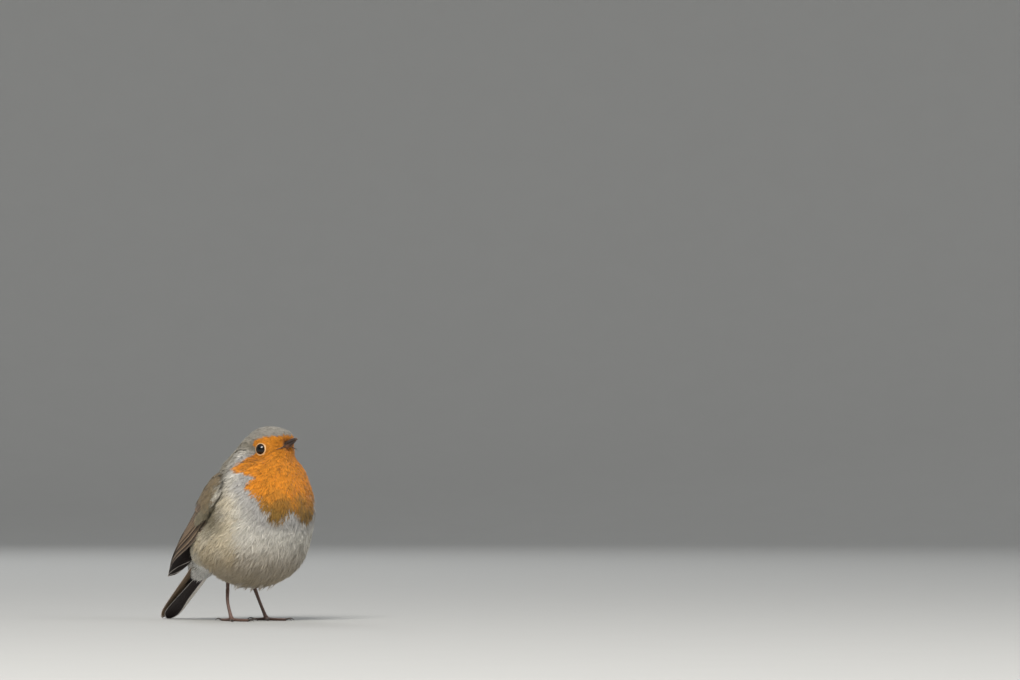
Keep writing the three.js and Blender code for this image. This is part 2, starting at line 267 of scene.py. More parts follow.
class Surface:
    """Triangles that feathers are laid on, with a smooth normal and a depth of coat for each."""

    def __init__(self, points, faces, depth):
        self.points, self.faces = points, faces
        self.tree = BVHTree.FromPolygons(points.tolist(), faces.tolist())
        corner = points[faces]
        facing = np.cross(corner[:, 1] - corner[:, 0], corner[:, 2] - corner[:, 0])
        self.area = np.linalg.norm(facing, axis=1)
        self.point_normals = point_normals(points, faces)
        self.normals = unit(self.point_normals[faces].mean(1))
        self.depth = np.broadcast_to(depth, len(faces))

    def nearest(self, points):
        """The nearest places on the surface, with the normal and the coat's depth at each."""
        found = [self.tree.find_nearest(p) for p in points.reshape(-1, 3).tolist()]
        face = np.array([f[2] for f in found])
        at = np.array([f[0][:] for f in found]).reshape(points.shape)
        return at, self.normals[face].reshape(points.shape), self.depth[face].reshape(points.shape[:-1])

    def with_node(self, node, depth):
        """This surface joined with a node's, on which the coat has another depth."""
        added = corners(node)
        faces = np.concatenate([self.faces, triangles(node) + len(self.points)])
        depths = np.concatenate([self.depth, np.full(len(faces) - len(self.faces), depth)])
        return Surface(np.concatenate([self.points, added]), faces, depths)


def point_normals(points, faces):
    """The normal at each point of a mesh of triangles."""
    corner = points[faces]
    facing = np.cross(corner[:, 1] - corner[:, 0], corner[:, 2] - corner[:, 0])
    normals = np.zeros_like(points)
    for k in range(3):
        np.add.at(normals, faces[:, k], facing)
    return unit(normals)


# ---- the body's markings, shared by skin and coat ----

# Half the bib's width, in degrees of turn from the bird's middle, at each height in millimetres.
BIB = [
    (51, 22), (53.5, 25), (58.2, 30), (61.7, 34), (64.6, 38), (67.5, 46), (70.2, 51), (72.2, 47),
    (74.5, 45), (76, 50), (77, 68), (79.0, 82), (81.5, 74), (84.5, 63), (86.8, 50), (88.5, 46),
    (90.5, 47), (92, 51), (94.1, 49), (95.2, 36), (96.3, 22), (97.2, 4), (97.8, -30),
]
BIB_FLOOR = 52.5  # height of the bib's two lobes
NOTCH = 7.0  # how far up the belly's white comes between them
NOTCH_TURN = -2  # where it comes up, in degrees of turn
HEAD_TURN = 8  # degrees that the head's middle is turned to the left
PER_DEGREE = 0.45  # millimetres round the breast in a degree of turn


def chart(points):
    """The turn round the upright line through the trunk, in degrees from straight ahead, and height."""
    turn = np.degrees(np.arctan2(points[..., 0], AXIS_Y - points[..., 1]))
    return turn, points[..., 2]


def tail_base(points, normals):
    """The white feathers round the tail's root, beneath it and at its sides."""
    gap = points - TAIL_ROOT
    above = gap @ TAIL_UP
    beneath = smooth(1.0, -1.5, above)
    beside = smooth(0.3, 0.7, np.abs(normals @ TAIL_LEFT)) * smooth(4.5, 2.5, above)
    topside = smooth(0.2, 0.6, normals @ TAIL_UP)
    return np.maximum(beneath, beside) * (1 - topside) * smooth(16, 10, np.linalg.norm(gap, axis=-1))


def bib_share(points):
    """How far points are inside the bib's outline, and how much of its orange there is."""
    turn, height = chart(points)
    aside = np.abs(turn - HEAD_TURN * smooth(66, 82, height))
    ragged = 0.55 * ripple(points, 5, 3)
    inside = (by_table(height, BIB) - aside) * PER_DEGREE + ragged
    notch = NOTCH * np.exp(-((turn - NOTCH_TURN) / 6.5) ** 2)
    lobes = BIB_FLOOR + notch + 0.25 * np.maximum(np.abs(turn) - 20, 0)
    above = height - lobes + ragged
    low = smooth(62, 56, height)
    return inside, smooth(-0.35, 0.35, inside * (1 - low) + np.minimum(inside, above) * low)


def markings(points, normals):
    """How much of each colour there is at points on the body."""
    turn, height = chart(points)
    turned, behind, up = np.abs(turn), points[..., 1] - AXIS_Y, normals[..., 2]
    inside, bib = bib_share(points)

    # olive from the back up over the nape and crown, where it greys, and down over the rump
    back = smooth(66, 92, turned + 5 * ripple(points, 14, 5)) * smooth(40, 52, height)
    neck, head_back = smooth(66, 76, height), smooth(84, 92, height)
    rump = smooth(110, 140, turned) * smooth(0.0, 0.4, up)
    crown = head_back * (0.80 - 0.28 * smooth(90, 97, height))
    olive = np.maximum.reduce([back * (1 - 0.25 * neck), crown, rump])

    # a blue-grey band along the bib's edge, over the breast and over the brow
    band = smooth(13, 3, -inside) * smooth(44, 54, height) * (1 - head_back)
    brow = smooth(4.5, 1.0, -inside) * head_back
    grey = np.maximum.reduce([band * smooth(100, 70, turned), brow, head_back, back * neck])

    # white beneath the tail and buff on the flanks; the buff low between the legs and the brown low on
    # the belly's front are painted shade
    under = smooth(-0.2, -0.7, up) * smooth(2, 12, behind)
    under = np.maximum(under, tail_base(points, normals))
    flank = smooth(48, 72, turned) * smooth(24, 34, height) * smooth(74, 60, height)
    flank = np.maximum(flank, 0.8 * smooth(34, 20, height) * smooth(16, 8, behind))
    return {
        "bib": bib,
        "gold": smooth(71, 56, height + 2.5 * ripple(points, 7, 12)),
        "grey": grey,
        "olive": olive,
        # brown low on the belly's front: painted shade
        "brown": 0.6 * smooth(47, 29, height) * smooth(16, 6, behind),
        "buff": flank * (0.75 + 0.25 * ripple(points, 9, 8)),
        "white": np.clip(under * smooth(14, 26, behind), 0, 1),
    }


# ---- places of the eyes, the bill and the legs ----

EYE_RADIUS = 3.8
EYE_SUNK = 0.85  # how much deeper than the frame's solids the eyeballs sit
EYE_RAISED = 0.5  # and how much higher
EYE_OPENING = 2.78  # radius of the gap between the lids
LID_EDGE = 3.0  # how far the skin begins from the eye's axis
LID_LEVEL = 2.38  # how far the skin stands out there from the eyeball's middle
LID_WIDTH = 0.5  # the lids' bare rim

HORN_BARE = 7.8  # how much of the bill's length is bare above
HORN_SIDES = 1.3  # and how much more at its sides
GAPE = {"side": 6.3, "ahead": 7.2, "up": -1.9}  # the mouth's corner, from the point between the eyes


def eye_axis(side):
    """The way an eye looks: out to its side and a little ahead."""
    return unit(HEAD_SIDE * SIDES[side] + HEAD_AHEAD * 0.30 + HEAD_UP * 0.04)


def eye_middle(side):
    """The middle of an eyeball."""
    return EYES[side] - eye_axis(side) * EYE_SUNK + HEAD_UP * EYE_RAISED


def from_eye(points):
    """The way out from the nearer eye's axis, and the distance from the edge of its lids."""
    outs, reaches = [], []
    for side in SIDES:
        axis = eye_axis(side)
        gap = points - eye_middle(side)
        along = (gap * axis).sum(-1)
        out = gap - along[..., None] * axis
        outs.append(out)
        reaches.append(np.linalg.norm(out, axis=-1) - EYE_OPENING + 2 * np.maximum(-0.5 - along, 0))
    nearer = reaches[1] < reaches[0]
    return np.where(nearer[..., None], outs[1], outs[0]), np.minimum(reaches[0], reaches[1])


def from_bill(points):
    """The distance from the bill's root."""
    return np.linalg.norm(points - BILL_ROOT, axis=-1)


def beyond_horn(points):
    """How far back points are from the line where the bill's horn ends and feathers begin."""
    gap = points - BILL_TIP
    aside = np.abs(gap @ np.cross(BILL_AHEAD, BILL_UP))
    off = np.hypot(aside, gap @ BILL_UP)
    edge = -gap @ BILL_AHEAD - HORN_BARE - HORN_SIDES * smooth(0.6, 2.4, aside)
    return edge + 3 * np.maximum(off - 2.6, 0)


def gape_line(side):
    """The two ends of the mouth's line where it runs back beside the bill."""
    out = HEAD_SIDE * SIDES[side]
    start = BILL_TIP - BILL_AHEAD * (HORN_BARE + 0.5) + out * 1.9
    corner = HEAD_MIDDLE + out * GAPE["side"] + HEAD_AHEAD * GAPE["ahead"] + HEAD_UP * GAPE["up"]
    return start, corner


def from_gape(points):
    """The distance from the nearer side's line of the mouth."""
    found = []
    for side in SIDES:
        start, corner = gape_line(side)
        run = corner - start
        share = np.clip(((points - start) @ run) / (run @ run), 0, 1)
        found.append(np.linalg.norm(points - start - share[..., None] * run, axis=-1))
    return np.minimum(*found)


def from_cuff(points):
    """The distance from the nearer of the cuffs of feathers at the tops of the legs."""
    return np.minimum(*(np.linalg.norm(points - CUFFS[side], axis=-1) for side in SIDES))


def down_tail(points):
    """How far points are down the tail from its root, and out from the line along its middle."""
    gap = points - TAIL_ROOT
    down = gap @ TAIL_BACK
    return down, np.linalg.norm(gap - down[..., None] * TAIL_BACK, axis=-1)


def coat_depth(points, sizes):
    """From the skin to the tips of the feathers."""
    deep, shallow = sizes.coat_body / MM, sizes.coat_face / MM
    depth = shallow + (deep - shallow) * smooth(8, 48, from_bill(points))
    depth = depth * (0.45 + 0.55 * smooth(0.5, 3.5, from_eye(points)[1]))
    down, aside = down_tail(points)
    depth = depth * (1 - 0.65 * smooth(-8, 4, down) * smooth(18, 12, aside))
    return depth * (0.15 + 0.85 * smooth(3, 9, from_cuff(points)))


def unwrap(points, centre):
    """A place on the unit square for each point: its turn and the sine of its height about a centre."""
    ray = unit(points - centre)
    turn = np.arctan2(ray[..., 0], -ray[..., 1]) / (2 * np.pi) + 0.5
    return np.stack([turn, (ray[..., 2] + 1) / 2], -1)


# ---- feathers of loose barbs ----

# Painted shadows of partings that run back and down from the corners of the mouth: how far each is
# above the corner's own, its half width and how much darker it is.
PARTING_SHADOWS = [(0, 0.35, 2.6), (1.7, 0.3, 1.5), (-1.6, 0.3, 1.5)]
PARTING_SLOPE = 0.43


def parting_shadows(points):
    """Painted shadow along the partings behind the mouth, as a darker tone."""
    gap = points - HEAD_MIDDLE
    ahead, up = gap @ HEAD_AHEAD, gap @ HEAD_UP
    off = (up - GAPE["up"] + PARTING_SLOPE * (GAPE["ahead"] - ahead)) * 0.92
    fade = smooth(-14, 2, ahead) * smooth(10, 7, ahead) * smooth(3.5, 5.5, np.abs(gap @ HEAD_SIDE))
    lines = sum(dark * np.exp(-((off - at) / wide) ** 2) for at, wide, dark in PARTING_SHADOWS)
    return -fade * lines


RUMP_END = TAIL_TIP - TAIL_BACK * 26


def lie(points, normals, sway, sink):
    """The way feathers lie: away from the bill and towards the tail, down the leg on the cuffs."""
    away, home = points - BILL_ROOT, sink - points
    pull = away / (away ** 2).sum(-1, keepdims=True) + home / (home ** 2).sum(-1, keepdims=True)
    pull = unit(pull)
    cuff = smooth(6, 3, from_cuff(points))[..., None]
    pull = pull * (1 - cuff) + np.array([0, 0, -1.0]) * cuff
    flat = unit(pull - normals * (pull * normals).sum(-1, keepdims=True))
    # feathers that would run into an eye go round it
    gap, off_lids = from_eye(points)
    gap = unit(gap - normals * (gap * normals).sum(-1, keepdims=True))
    against = np.minimum((flat * gap).sum(-1), 0) * smooth(4.5, 1.2, off_lids)
    flat = unit(flat - 1.15 * against[..., None] * gap)
    turned = np.cross(normals, flat)
    return flat * np.cos(sway)[..., None] + turned * np.sin(sway)[..., None]


TRIES = 2.2  # places tried for each that there is room for


def scatter(surface, spacing, keep, seed):
    """Places on a surface that are kept, none nearer to another than the spacing wanted there."""
    rng = np.random.default_rng(seed)
    centres = surface.points[surface.faces].mean(1)
    wanted = np.flatnonzero(keep(centres, surface.normals) > 0)
    weight = surface.area[wanted] / spacing(centres[wanted]) ** 2
    face = rng.choice(wanted, int(weight.sum() * TRIES) + 1, p=weight / weight.sum())
    part = rng.dirichlet((1, 1, 1), len(face))
    points = (surface.points[surface.faces[face]] * part[..., None]).sum(1)
    apart = spacing(points)
    cell = apart.max()
    boxes, kept = {}, []
    for i, (x, y, z) in enumerate(points.tolist()):
        a, b, c = int(x // cell), int(y // cell), int(z // cell)
        limit = apart[i] ** 2
        crowded = any(
            (x - u) ** 2 + (y - v) ** 2 + (z - w) ** 2 < limit
            for da in (-1, 0, 1) for db in (-1, 0, 1) for dc in (-1, 0, 1)
            for u, v, w in boxes.get((a + da, b + db, c + dc), ()))
        if not crowded:
            boxes.setdefault((a, b, c), []).append((x, y, z))
            kept.append(i)
    return points[kept]


STEPS = 6  # straight runs in the line of a feather


def trails(surface, roots, lengths, sway, seed, sink=RUMP_END):
    """The line that each feather follows over a surface, with the normals and depths along it."""
    rng = np.random.default_rng(seed)
    turn = rng.normal(0, sway, len(roots)) + 0.12 * ripple(roots, 18, 7) + 0.08 * ripple(roots, 5.5, 8)
    at, normal, depth = surface.nearest(roots)
    lines, normals, depths = [at], [normal], [depth]
    for _ in range(STEPS):
        ahead = lie(at, normal, turn, sink) * (lengths / STEPS)[:, None]
        at, normal, depth = surface.nearest(at + ahead)
        lines.append(at)
        normals.append(normal)
        depths.append(depth)
    return np.stack(lines, 1), np.stack(normals, 1), np.stack(depths, 1)


VANE = 0.84  # share of a feather's length over which barbs leave its shaft
STRAY = 0.02  # share of the barbs that stand up out of the coat
BARB_BOW = [0, 0.56, 0.87, 1.0]  # how far out a barb is at each third of its length
BARB_WIDTH = 0.22  # half of the widest barb's
BARB_TAPER = (0.8, 1.0, 0.62)

# Triangles of one barb, over two points at each of its first three places and one at its tip.
BARB_STRIP = np.array([(0, 3, 1), (0, 2, 3), (2, 5, 3), (2, 4, 5), (4, 6, 5)])


def barbs(line, normal, depth, lengths, widths, per_side, seed, lift=1.0, curl=0.0):
    """Strips for the barbs of feathers along lines: points, triangles and shares along the feather."""
    rng = np.random.default_rng(seed)
    count = 2 * per_side
    shape = (len(line), count)
    side = np.where(np.arange(count) % 2, 1.0, -1.0)
    start = np.repeat((np.arange(per_side) + 0.5) / per_side, 2) ** 0.85
    start = start * VANE + rng.normal(0, 0.02, shape)
    end = start + (0.52 - 0.26 * start) * rng.uniform(0.6, 1.3, shape)
    outline = np.sin(np.pi * np.clip(end / 1.3, 0, 1) ** 1.1) ** 0.8
    spread = widths[:, None] * outline * side * rng.uniform(0.35, 1.15, shape)
    stray = np.where(rng.uniform(size=shape) < STRAY, 0.3, 0.0)
    rise = (rng.normal(0, 0.06, shape) + rng.normal(0, 0.06, (len(line), 1)) + stray) * depth[:, -1:]
    height = lift * depth * np.linspace(0, 1, STEPS + 1) ** 0.5
    shares = np.linspace(0, 1, 4)
    along = np.stack([start + (end - start) * share for share in shares])
    heading = unit(np.gradient(line, axis=1))
    across = np.cross(normal, heading)
    centres = []
    flat_radius = np.clip(0.8 * from_bill(line[:, 0]), 9, 30)[:, None, None]
    for t, share, bow in zip(along, shares, BARB_BOW):
        w = (spread * bow)[..., None]
        up = at_share(height[..., None], t) + (rise * share)[..., None]
        up = up - w ** 2 / (2 * flat_radius) + curl * (np.maximum(t, 0) ** 3)[..., None]
        n = unit(at_share(normal, t))
        centres.append(at_share(line, t) + at_share(across, t) * w + n * np.maximum(up, 0.02))
    stride = lengths[:, None] * VANE / per_side
    half = np.minimum(0.4 * stride, BARB_WIDTH) * rng.uniform(0.6, 1.3, shape)
    roll = rng.normal(0, 0.35, shape)[..., None]
    rows = []
    for k, wide in enumerate(BARB_TAPER):
        n = unit(at_share(normal, along[k]))
        forward = unit(centres[k + 1] - centres[k])
        out = (unit(np.cross(n, forward)) + n * roll) * (half * wide)[..., None]
        rows += [centres[k] - out, centres[k] + out]
    rows.append(centres[3])
    points = np.stack(rows, 2)
    share = np.stack([along[k] for k in (0, 0, 1, 1, 2, 2, 3)], 2)
    faces = BARB_STRIP[None] + 7 * np.arange(shape[0] * shape[1])[:, None, None]
    return points, faces.reshape(-1, 3), share


PATCH = 0.003  # across a feather's place on the unwrap
PATCH_ACROSS = np.array([0, 0.02, 0, 0.02, 0, 0.02, 0.01])  # of a barb's points, in shares of the patch
SHADOWED_BARB_SHARE = 0.05  # share of the barbs darkened as painted shadow of the gaps between locks


def patches(roots, centre, share):
    """Each feather's patch at its root's place on the unwrap: along it goes one way, barb by barb
    the other."""
    place = unwrap(roots, centre)
    low, high = place.min(0), place.max(0)
    place = 0.01 + 0.98 * (place - low) / (high - low)
    barb = np.linspace(0, 1, share.shape[1])[None, :, None] * np.ones_like(share)
    local = np.stack([share, barb + PATCH_ACROSS], -1)
    return place[:, None, None, :] + PATCH * (np.clip(local, 0, 1) - 0.5)


def coat(name, surface, keep, centre, length, spacing, per_side, slot, material, seed,
         sway=0.09, width=0.26, lift=1.0, curl=0.0, marks_of=markings, sink=RUMP_END, contrast=1.0):
    """One piece of the coat: feathers over the part of a surface that is kept."""
    roots = scatter(surface, spacing, keep, seed)
    rng = np.random.default_rng(seed + 1)
    lengths = length(roots) * rng.uniform(0.85, 1.15, len(roots))
    line, normal, depth = trails(surface, roots, lengths, sway, seed + 2, sink)
    widths = lengths * width
    points, faces, share = barbs(line, normal, depth, lengths, widths, per_side, seed + 3, lift, curl)
    showing = at_share(line, np.full(len(line), 0.8))
    marks = marks_of(showing, normal[:, -2])
    whole = points.shape[1:3]
    tone = 0.4 * rng.normal(size=len(roots)) + 0.6 * ripple(roots, 4, 31)
    tone = contrast * (tone[:, None, None] + 0.6 * rng.normal(size=(*points.shape[:2], 1)))
    orange = marks["bib"][:, None, None]
    # rare barbs, more of them in the orange, are darkened as painted shadow of the gaps between locks
    dark = rng.uniform(size=tone.shape) < SHADOWED_BARB_SHARE * (1 + orange)
    # the partings behind the mouth get painted shadow too
    tone = tone - (3.2 + 1.6 * orange) * dark + parting_shadows(points)
    values = {key: np.broadcast_to(v[:, None, None], (len(roots), *whole)) for key, v in marks.items()}
    values["tone"] = np.broadcast_to(tone, (len(roots), *whole))
    values["along"] = share
    uv = patches(line[:, 0], centre, share)
    return piece(name, points.reshape(-1, 3), faces, material, slot, values, uv.reshape(-1, 2))


# ---- materials ----

def shader_node(tree, kind, inputs=None, **settings):
    """A new node, with its inputs linked where they are given sockets and set where given values."""
    made = tree.nodes.new(kind)
    for key, value in settings.items():
        setattr(made, key, value)
    for key, value in (inputs or {}).items():
        if isinstance(value, bpy.types.NodeSocket):
            tree.links.new(value, made.inputs[key])
        else:
            made.inputs[key].default_value = value
    return made


def mixed(tree, factor, first, second, mode="MIX"):
    """A colour between two others."""
    made = shader_node(tree, "ShaderNodeMix", {0: factor, 6: first, 7: second},
                       data_type="RGBA", blend_type=mode)
    return made.outputs[2]


def toned(tree, colour, level):
    """A colour made lighter or darker by a level, where 1 leaves it as it is."""
    grey = shader_node(tree, "ShaderNodeCombineColor", {0: level, 1: level, 2: level}).outputs[0]
    return mixed(tree, 1.0, colour, grey, "MULTIPLY")


def sums(tree, operation, *values, clamp=False):
    """The outcome of a sum on values or sockets."""
    made = shader_node(tree, "ShaderNodeMath", dict(enumerate(values)),
                       operation=operation, use_clamp=clamp)
    return made.outputs[0]


def ramp(tree, value, low, high, to_low=0.0, to_high=1.0):
    """A value that goes softly from one level to another as its input goes from low to high."""
    made = shader_node(tree, "ShaderNodeMapRange", {0: value, 1: low, 2: high, 3: to_low, 4: to_high},
                       interpolation_type="SMOOTHSTEP")
    return made.outputs[0]


def attribute(tree, name):
    """A value that the mesh holds at its points."""
    return shader_node(tree, "ShaderNodeAttribute", attribute_name=name).outputs["Fac"]


def shade(colour):
    """A colour with full cover."""
    return (*colour, 1.0)


def node_group(name, inputs, outputs):
    """A new shader node group with its named sockets, and the nodes at its two ends."""
    group = bpy.data.node_groups.new(name, "ShaderNodeTree")
    for direction, sockets in (("INPUT", inputs), ("OUTPUT", outputs)):
        for key, kind in sockets.items():
            group.interface.new_socket(key, in_out=direction, socket_type=f"NodeSocket{kind}")
    return group, group.nodes.new("NodeGroupInput"), group.nodes.new("NodeGroupOutput")


MARKS = ("bib", "gold", "grey", "olive", "brown", "buff", "white")
PLUMAGE = ("Belly", "Buff", "White", "Grey", "Olive", "Brown", "Orange", "Gold", "Ember_shade", "Dusk")


def plumage_group():
    """Mixes a feather's colour from its markings, darkens its hidden base, partly as its real grey and
    partly as painted shade in the gaps between feathers, and varies its tone.
    """
    found = bpy.data.node_groups.get("plumage colour")
    if found:
        return found
    sockets = {key: "Float" for key in (*MARKS, "along", "tone")} | {key: "Color" for key in PLUMAGE}
    group, start, end = node_group("plumage colour", sockets, {"Colour": "Color"})
    given = start.outputs
    colour = mixed(group, given["buff"], given["Belly"], given["Buff"])
    colour = mixed(group, given["white"], colour, given["White"])
    colour = mixed(group, given["grey"], colour, given["Grey"])
    colour = mixed(group, given["olive"], colour, given["Olive"])
    colour = mixed(group, given["brown"], colour, given["Brown"])
    warm = mixed(group, given["gold"], given["Orange"], given["Gold"])
    colour = mixed(group, given["bib"], colour, warm)
    # the hidden bases: dusk is partly their real grey and partly painted shade in the gaps, ember in the
    # orange is painted shade
    deep = mixed(group, given["bib"], given["Dusk"], given["Ember_shade"])
    hidden = ramp(group, given["along"], 0.0, 0.55, 0.75, 0.0)
    colour = mixed(group, hidden, colour, deep)
    tip = ramp(group, given["along"], 0.5, 1.0, 0.9, 1.08)
    colour = toned(group, colour, sums(group, "MULTIPLY_ADD", given["tone"], 0.12, tip))
    group.links.new(colour, end.inputs["Colour"])
    return group


def grain_group():
    """Fine mottling at a given size: a height for bumps and a mask for tone."""
    found = bpy.data.node_groups.get("fine grain")
    if found:
        return found
    group, start, end = node_group("fine grain", {"Size": "Float", "Amount": "Float"},
                                   {"Height": "Float", "Mask": "Float"})
    place = shader_node(group, "ShaderNodeTexCoord").outputs["Object"]
    scale = sums(group, "DIVIDE", 1.0, start.outputs["Size"])
    settings = {"Vector": place, "Scale": scale, "Detail": 3.0}
    noise = shader_node(group, "ShaderNodeTexNoise", settings).outputs["Fac"]
    group.links.new(noise, end.inputs["Height"])
    centred = sums(group, "SUBTRACT", noise, 0.5)
    group.links.new(sums(group, "MULTIPLY", centred, start.outputs["Amount"]), end.inputs["Mask"])
    return group


def new_material(name):
    """An empty material and its tree of nodes."""
    made = bpy.data.materials.new(name)
    made.use_nodes = True
    made.node_tree.nodes.clear()
    return made, made.node_tree


def finish_material(tree, inputs):
    """Ends a material's tree with a shader that has the inputs given."""
    shader = shader_node(tree, "ShaderNodeBsdfPrincipled", inputs)
    out = shader_node(tree, "ShaderNodeOutputMaterial")
    tree.links.new(shader.outputs[0], out.inputs["Surface"])


def grain_node(tree, size, amount):
    """The fine grain at a size in millimetres."""
    grain = shader_node(tree, "ShaderNodeGroup", node_tree=grain_group())
    grain.inputs["Size"].default_value = size * MM
    grain.inputs["Amount"].default_value = amount
    return grain


def with_grain(tree, colour, size, amount, bump):
    """A colour with fine mottling, and the normal that goes with it."""
    grain = grain_node(tree, size, amount)
    mottled = toned(tree, colour, sums(tree, "ADD", 1.0, grain.outputs["Mask"]))
    normal = shader_node(tree, "ShaderNodeBump", {"Height": grain.outputs["Height"], "Strength": bump,
                                                  "Distance": 0.1 * MM}).outputs["Normal"]
    return mottled, normal


def plumage_material(name, colours, sheen, grain):
    """Soft feathers, coloured by the markings that the mesh holds."""
    found = bpy.data.materials.get(name)
    if found:
        return found
    made, tree = new_material(name)
    group = shader_node(tree, "ShaderNodeGroup", node_tree=plumage_group())
    for key in (*MARKS, "along", "tone"):
        tree.links.new(attribute(tree, key), group.inputs[key])
    for key in PLUMAGE:
        group.inputs[key].default_value = shade(getattr(colours, key.lower()))
    colour, normal = with_grain(tree, group.outputs["Colour"], grain, 0.5, 0.25)
    finish_material(tree, {
        "Base Color": colour, "Normal": normal, "Roughness": 0.72, "Specular IOR Level": 0.25,
        "Sheen Weight": sheen, "Sheen Roughness": 0.45,
    })
    return made


# ---- operators ----

def sizes_of(context):
    return context.scene.robin_sizes


def colours_of(context):
    return context.scene.robin_colours


def solid(*nodes, swell=0.0):
    """The welded points and triangles of nodes, moved out along their normals."""
    lumps = []
    for node in nodes:
        points, index = np.unique(np.round(corners(node), 4), axis=0, return_inverse=True)
        faces = index.reshape(-1)[triangles(node)]
        lumps.append((points + swell * point_normals(points, faces), faces))
    return joined(lumps)


def joined(meshes):
    """One mesh from several pairs of points and faces."""
    starts = np.cumsum([0] + [len(points) for points, faces in meshes])
    faces = [faces + start for (points, faces), start in zip(meshes, starts)]
    return np.concatenate([points for points, _ in meshes]), np.concatenate(faces)


def remeshed(points, faces, voxel):
    """One closed skin round all the solids given, from Blender's voxel remesh."""
    mesh = bpy.data.meshes.new("raw")
    mesh.from_pydata((points * MM).tolist(), [], faces.tolist())
    raw = bpy.data.objects.new("raw", mesh)
    bpy.context.scene.collection.objects.link(raw)
    cells = raw.modifiers.new("cells", "REMESH")
    cells.mode = "VOXEL"
    cells.voxel_size = voxel
    made = raw.evaluated_get(bpy.context.evaluated_depsgraph_get()).to_mesh()
    points = np.empty(len(made.vertices) * 3, np.float32)
    made.vertices.foreach_get("co", points)
    made.calc_loop_triangles()
    faces = np.empty(len(made.loop_triangles) * 3, np.int32)
    made.loop_triangles.foreach_get("vertices", faces)
    bpy.data.objects.remove(raw)
    bpy.data.meshes.remove(mesh)
    return points.reshape(-1, 3).astype(float) / MM, faces.reshape(-1, 3)


def relaxed(points, faces, rounds):
    """Points moved towards the middle of their neighbours, without shrinking much."""
    edges = np.concatenate([faces[:, [0, 1]], faces[:, [1, 2]], faces[:, [2, 0]]])
    edges = np.unique(np.sort(edges, 1), axis=0)
    share = 1.0 / np.bincount(edges.ravel(), minlength=len(points))
    for k in range(rounds):
        step = 0.5 if k % 2 == 0 else -0.3
        total = np.zeros_like(points)
        np.add.at(total, edges[:, 0], points[edges[:, 1]])
        np.add.at(total, edges[:, 1], points[edges[:, 0]])
        points = points + (total * share[:, None] - points) * step
    return points


def fullness(points):
    """How far the plumage stands out beyond the frame's solids."""
    gap = points - HEAD_MIDDLE
    ahead, up = gap @ HEAD_AHEAD, gap @ HEAD_UP
    turn, height = chart(points)
    turn = np.abs(turn)
    hind = 2.3 * np.exp(-((ahead + 9) / 6) ** 2 - ((up - 2) / 6) ** 2)
    brow = 1.2 * np.exp(-((ahead - 8.5) / 3.5) ** 2 - ((up - 5) / 3.5) ** 2)
    mantle = 1.5 * np.exp(-((height - 81) / 6) ** 2) * smooth(90, 130, turn)
    chin = -1.1 * np.exp(-((height - 86.5) / 4.5) ** 2) * smooth(5, 30, turn) * smooth(80, 60, turn)
    return hind + brow + mantle + chin + 0.4 * smooth(3, 8, up)


def seated(points):
    """Skin brought to the level of the lids round each eye, and sunk behind the eyeball."""
    for side in SIDES:
        axis = eye_axis(side)
        gap = points - eye_middle(side)
        along = gap @ axis
        out = np.linalg.norm(gap - along[:, None] * axis, axis=1)
        apart = out - LID_EDGE
        slope = np.where(apart > 0, -0.35 * apart - 0.08 * apart ** 2, 2.5 * apart)
        level = LID_LEVEL + slope
        share = smooth(LID_EDGE + 5, LID_EDGE + 0.6, out) * (along > -4)
        points = points + axis * ((level - along) * share)[:, None]
    return points


def tucked(points):
    """Skin raised behind the legs."""
    behind = smooth(-12, -4, points[:, 1]) * smooth(30, 20, points[:, 1])
    return points + np.outer(TUCK * behind * smooth(36, 22, points[:, 2]), [0, 0, 1])


def ellipsoid(centre, axes, radii):
    """Points and triangles of a closed ellipsoid."""
    rows, columns = 14, 24
    polar = np.linspace(0.05, np.pi - 0.05, rows)[:, None]
    turn = np.linspace(0, 2 * np.pi, columns + 1)[:-1]
    ball = np.stack([np.cos(polar) * np.ones(columns), np.sin(polar) * np.cos(turn),
                     np.sin(polar) * np.sin(turn)], -1).reshape(-1, 3)
    sides = grid_faces(rows, columns, True)
    fan = np.stack([np.zeros(columns - 2, int), np.arange(1, columns - 1), np.arange(2, columns)], -1)
    far = fan[:, ::-1] + (rows - 1) * columns
    faces = np.concatenate([sides[:, [0, 2, 1]], sides[:, [0, 3, 2]], fan, far])
    return centre + (ball * radii) @ np.array(axes), faces


# Balls of flesh that lead the rump into the tail: place down the tail, half width and half height.
TAIL_SLEEVE = [(-8, 10, 6.8), (-4.5, 8, 4.6), (-1.5, 7, 2.6), (-0.8, 6.5, 1.4)]
SLEEVE_LENGTH = 5  # half the length of each ball

FLESH = ("head", "neck", "trunk", "rump", "thigh_left", "thigh_right")
FLESH_SWELL = 0.35  # closes the gaps between neighbouring solids
SOCKET_SWELL = 0.6
BODY = {}  # the surfaces that one operator makes and the next ones use


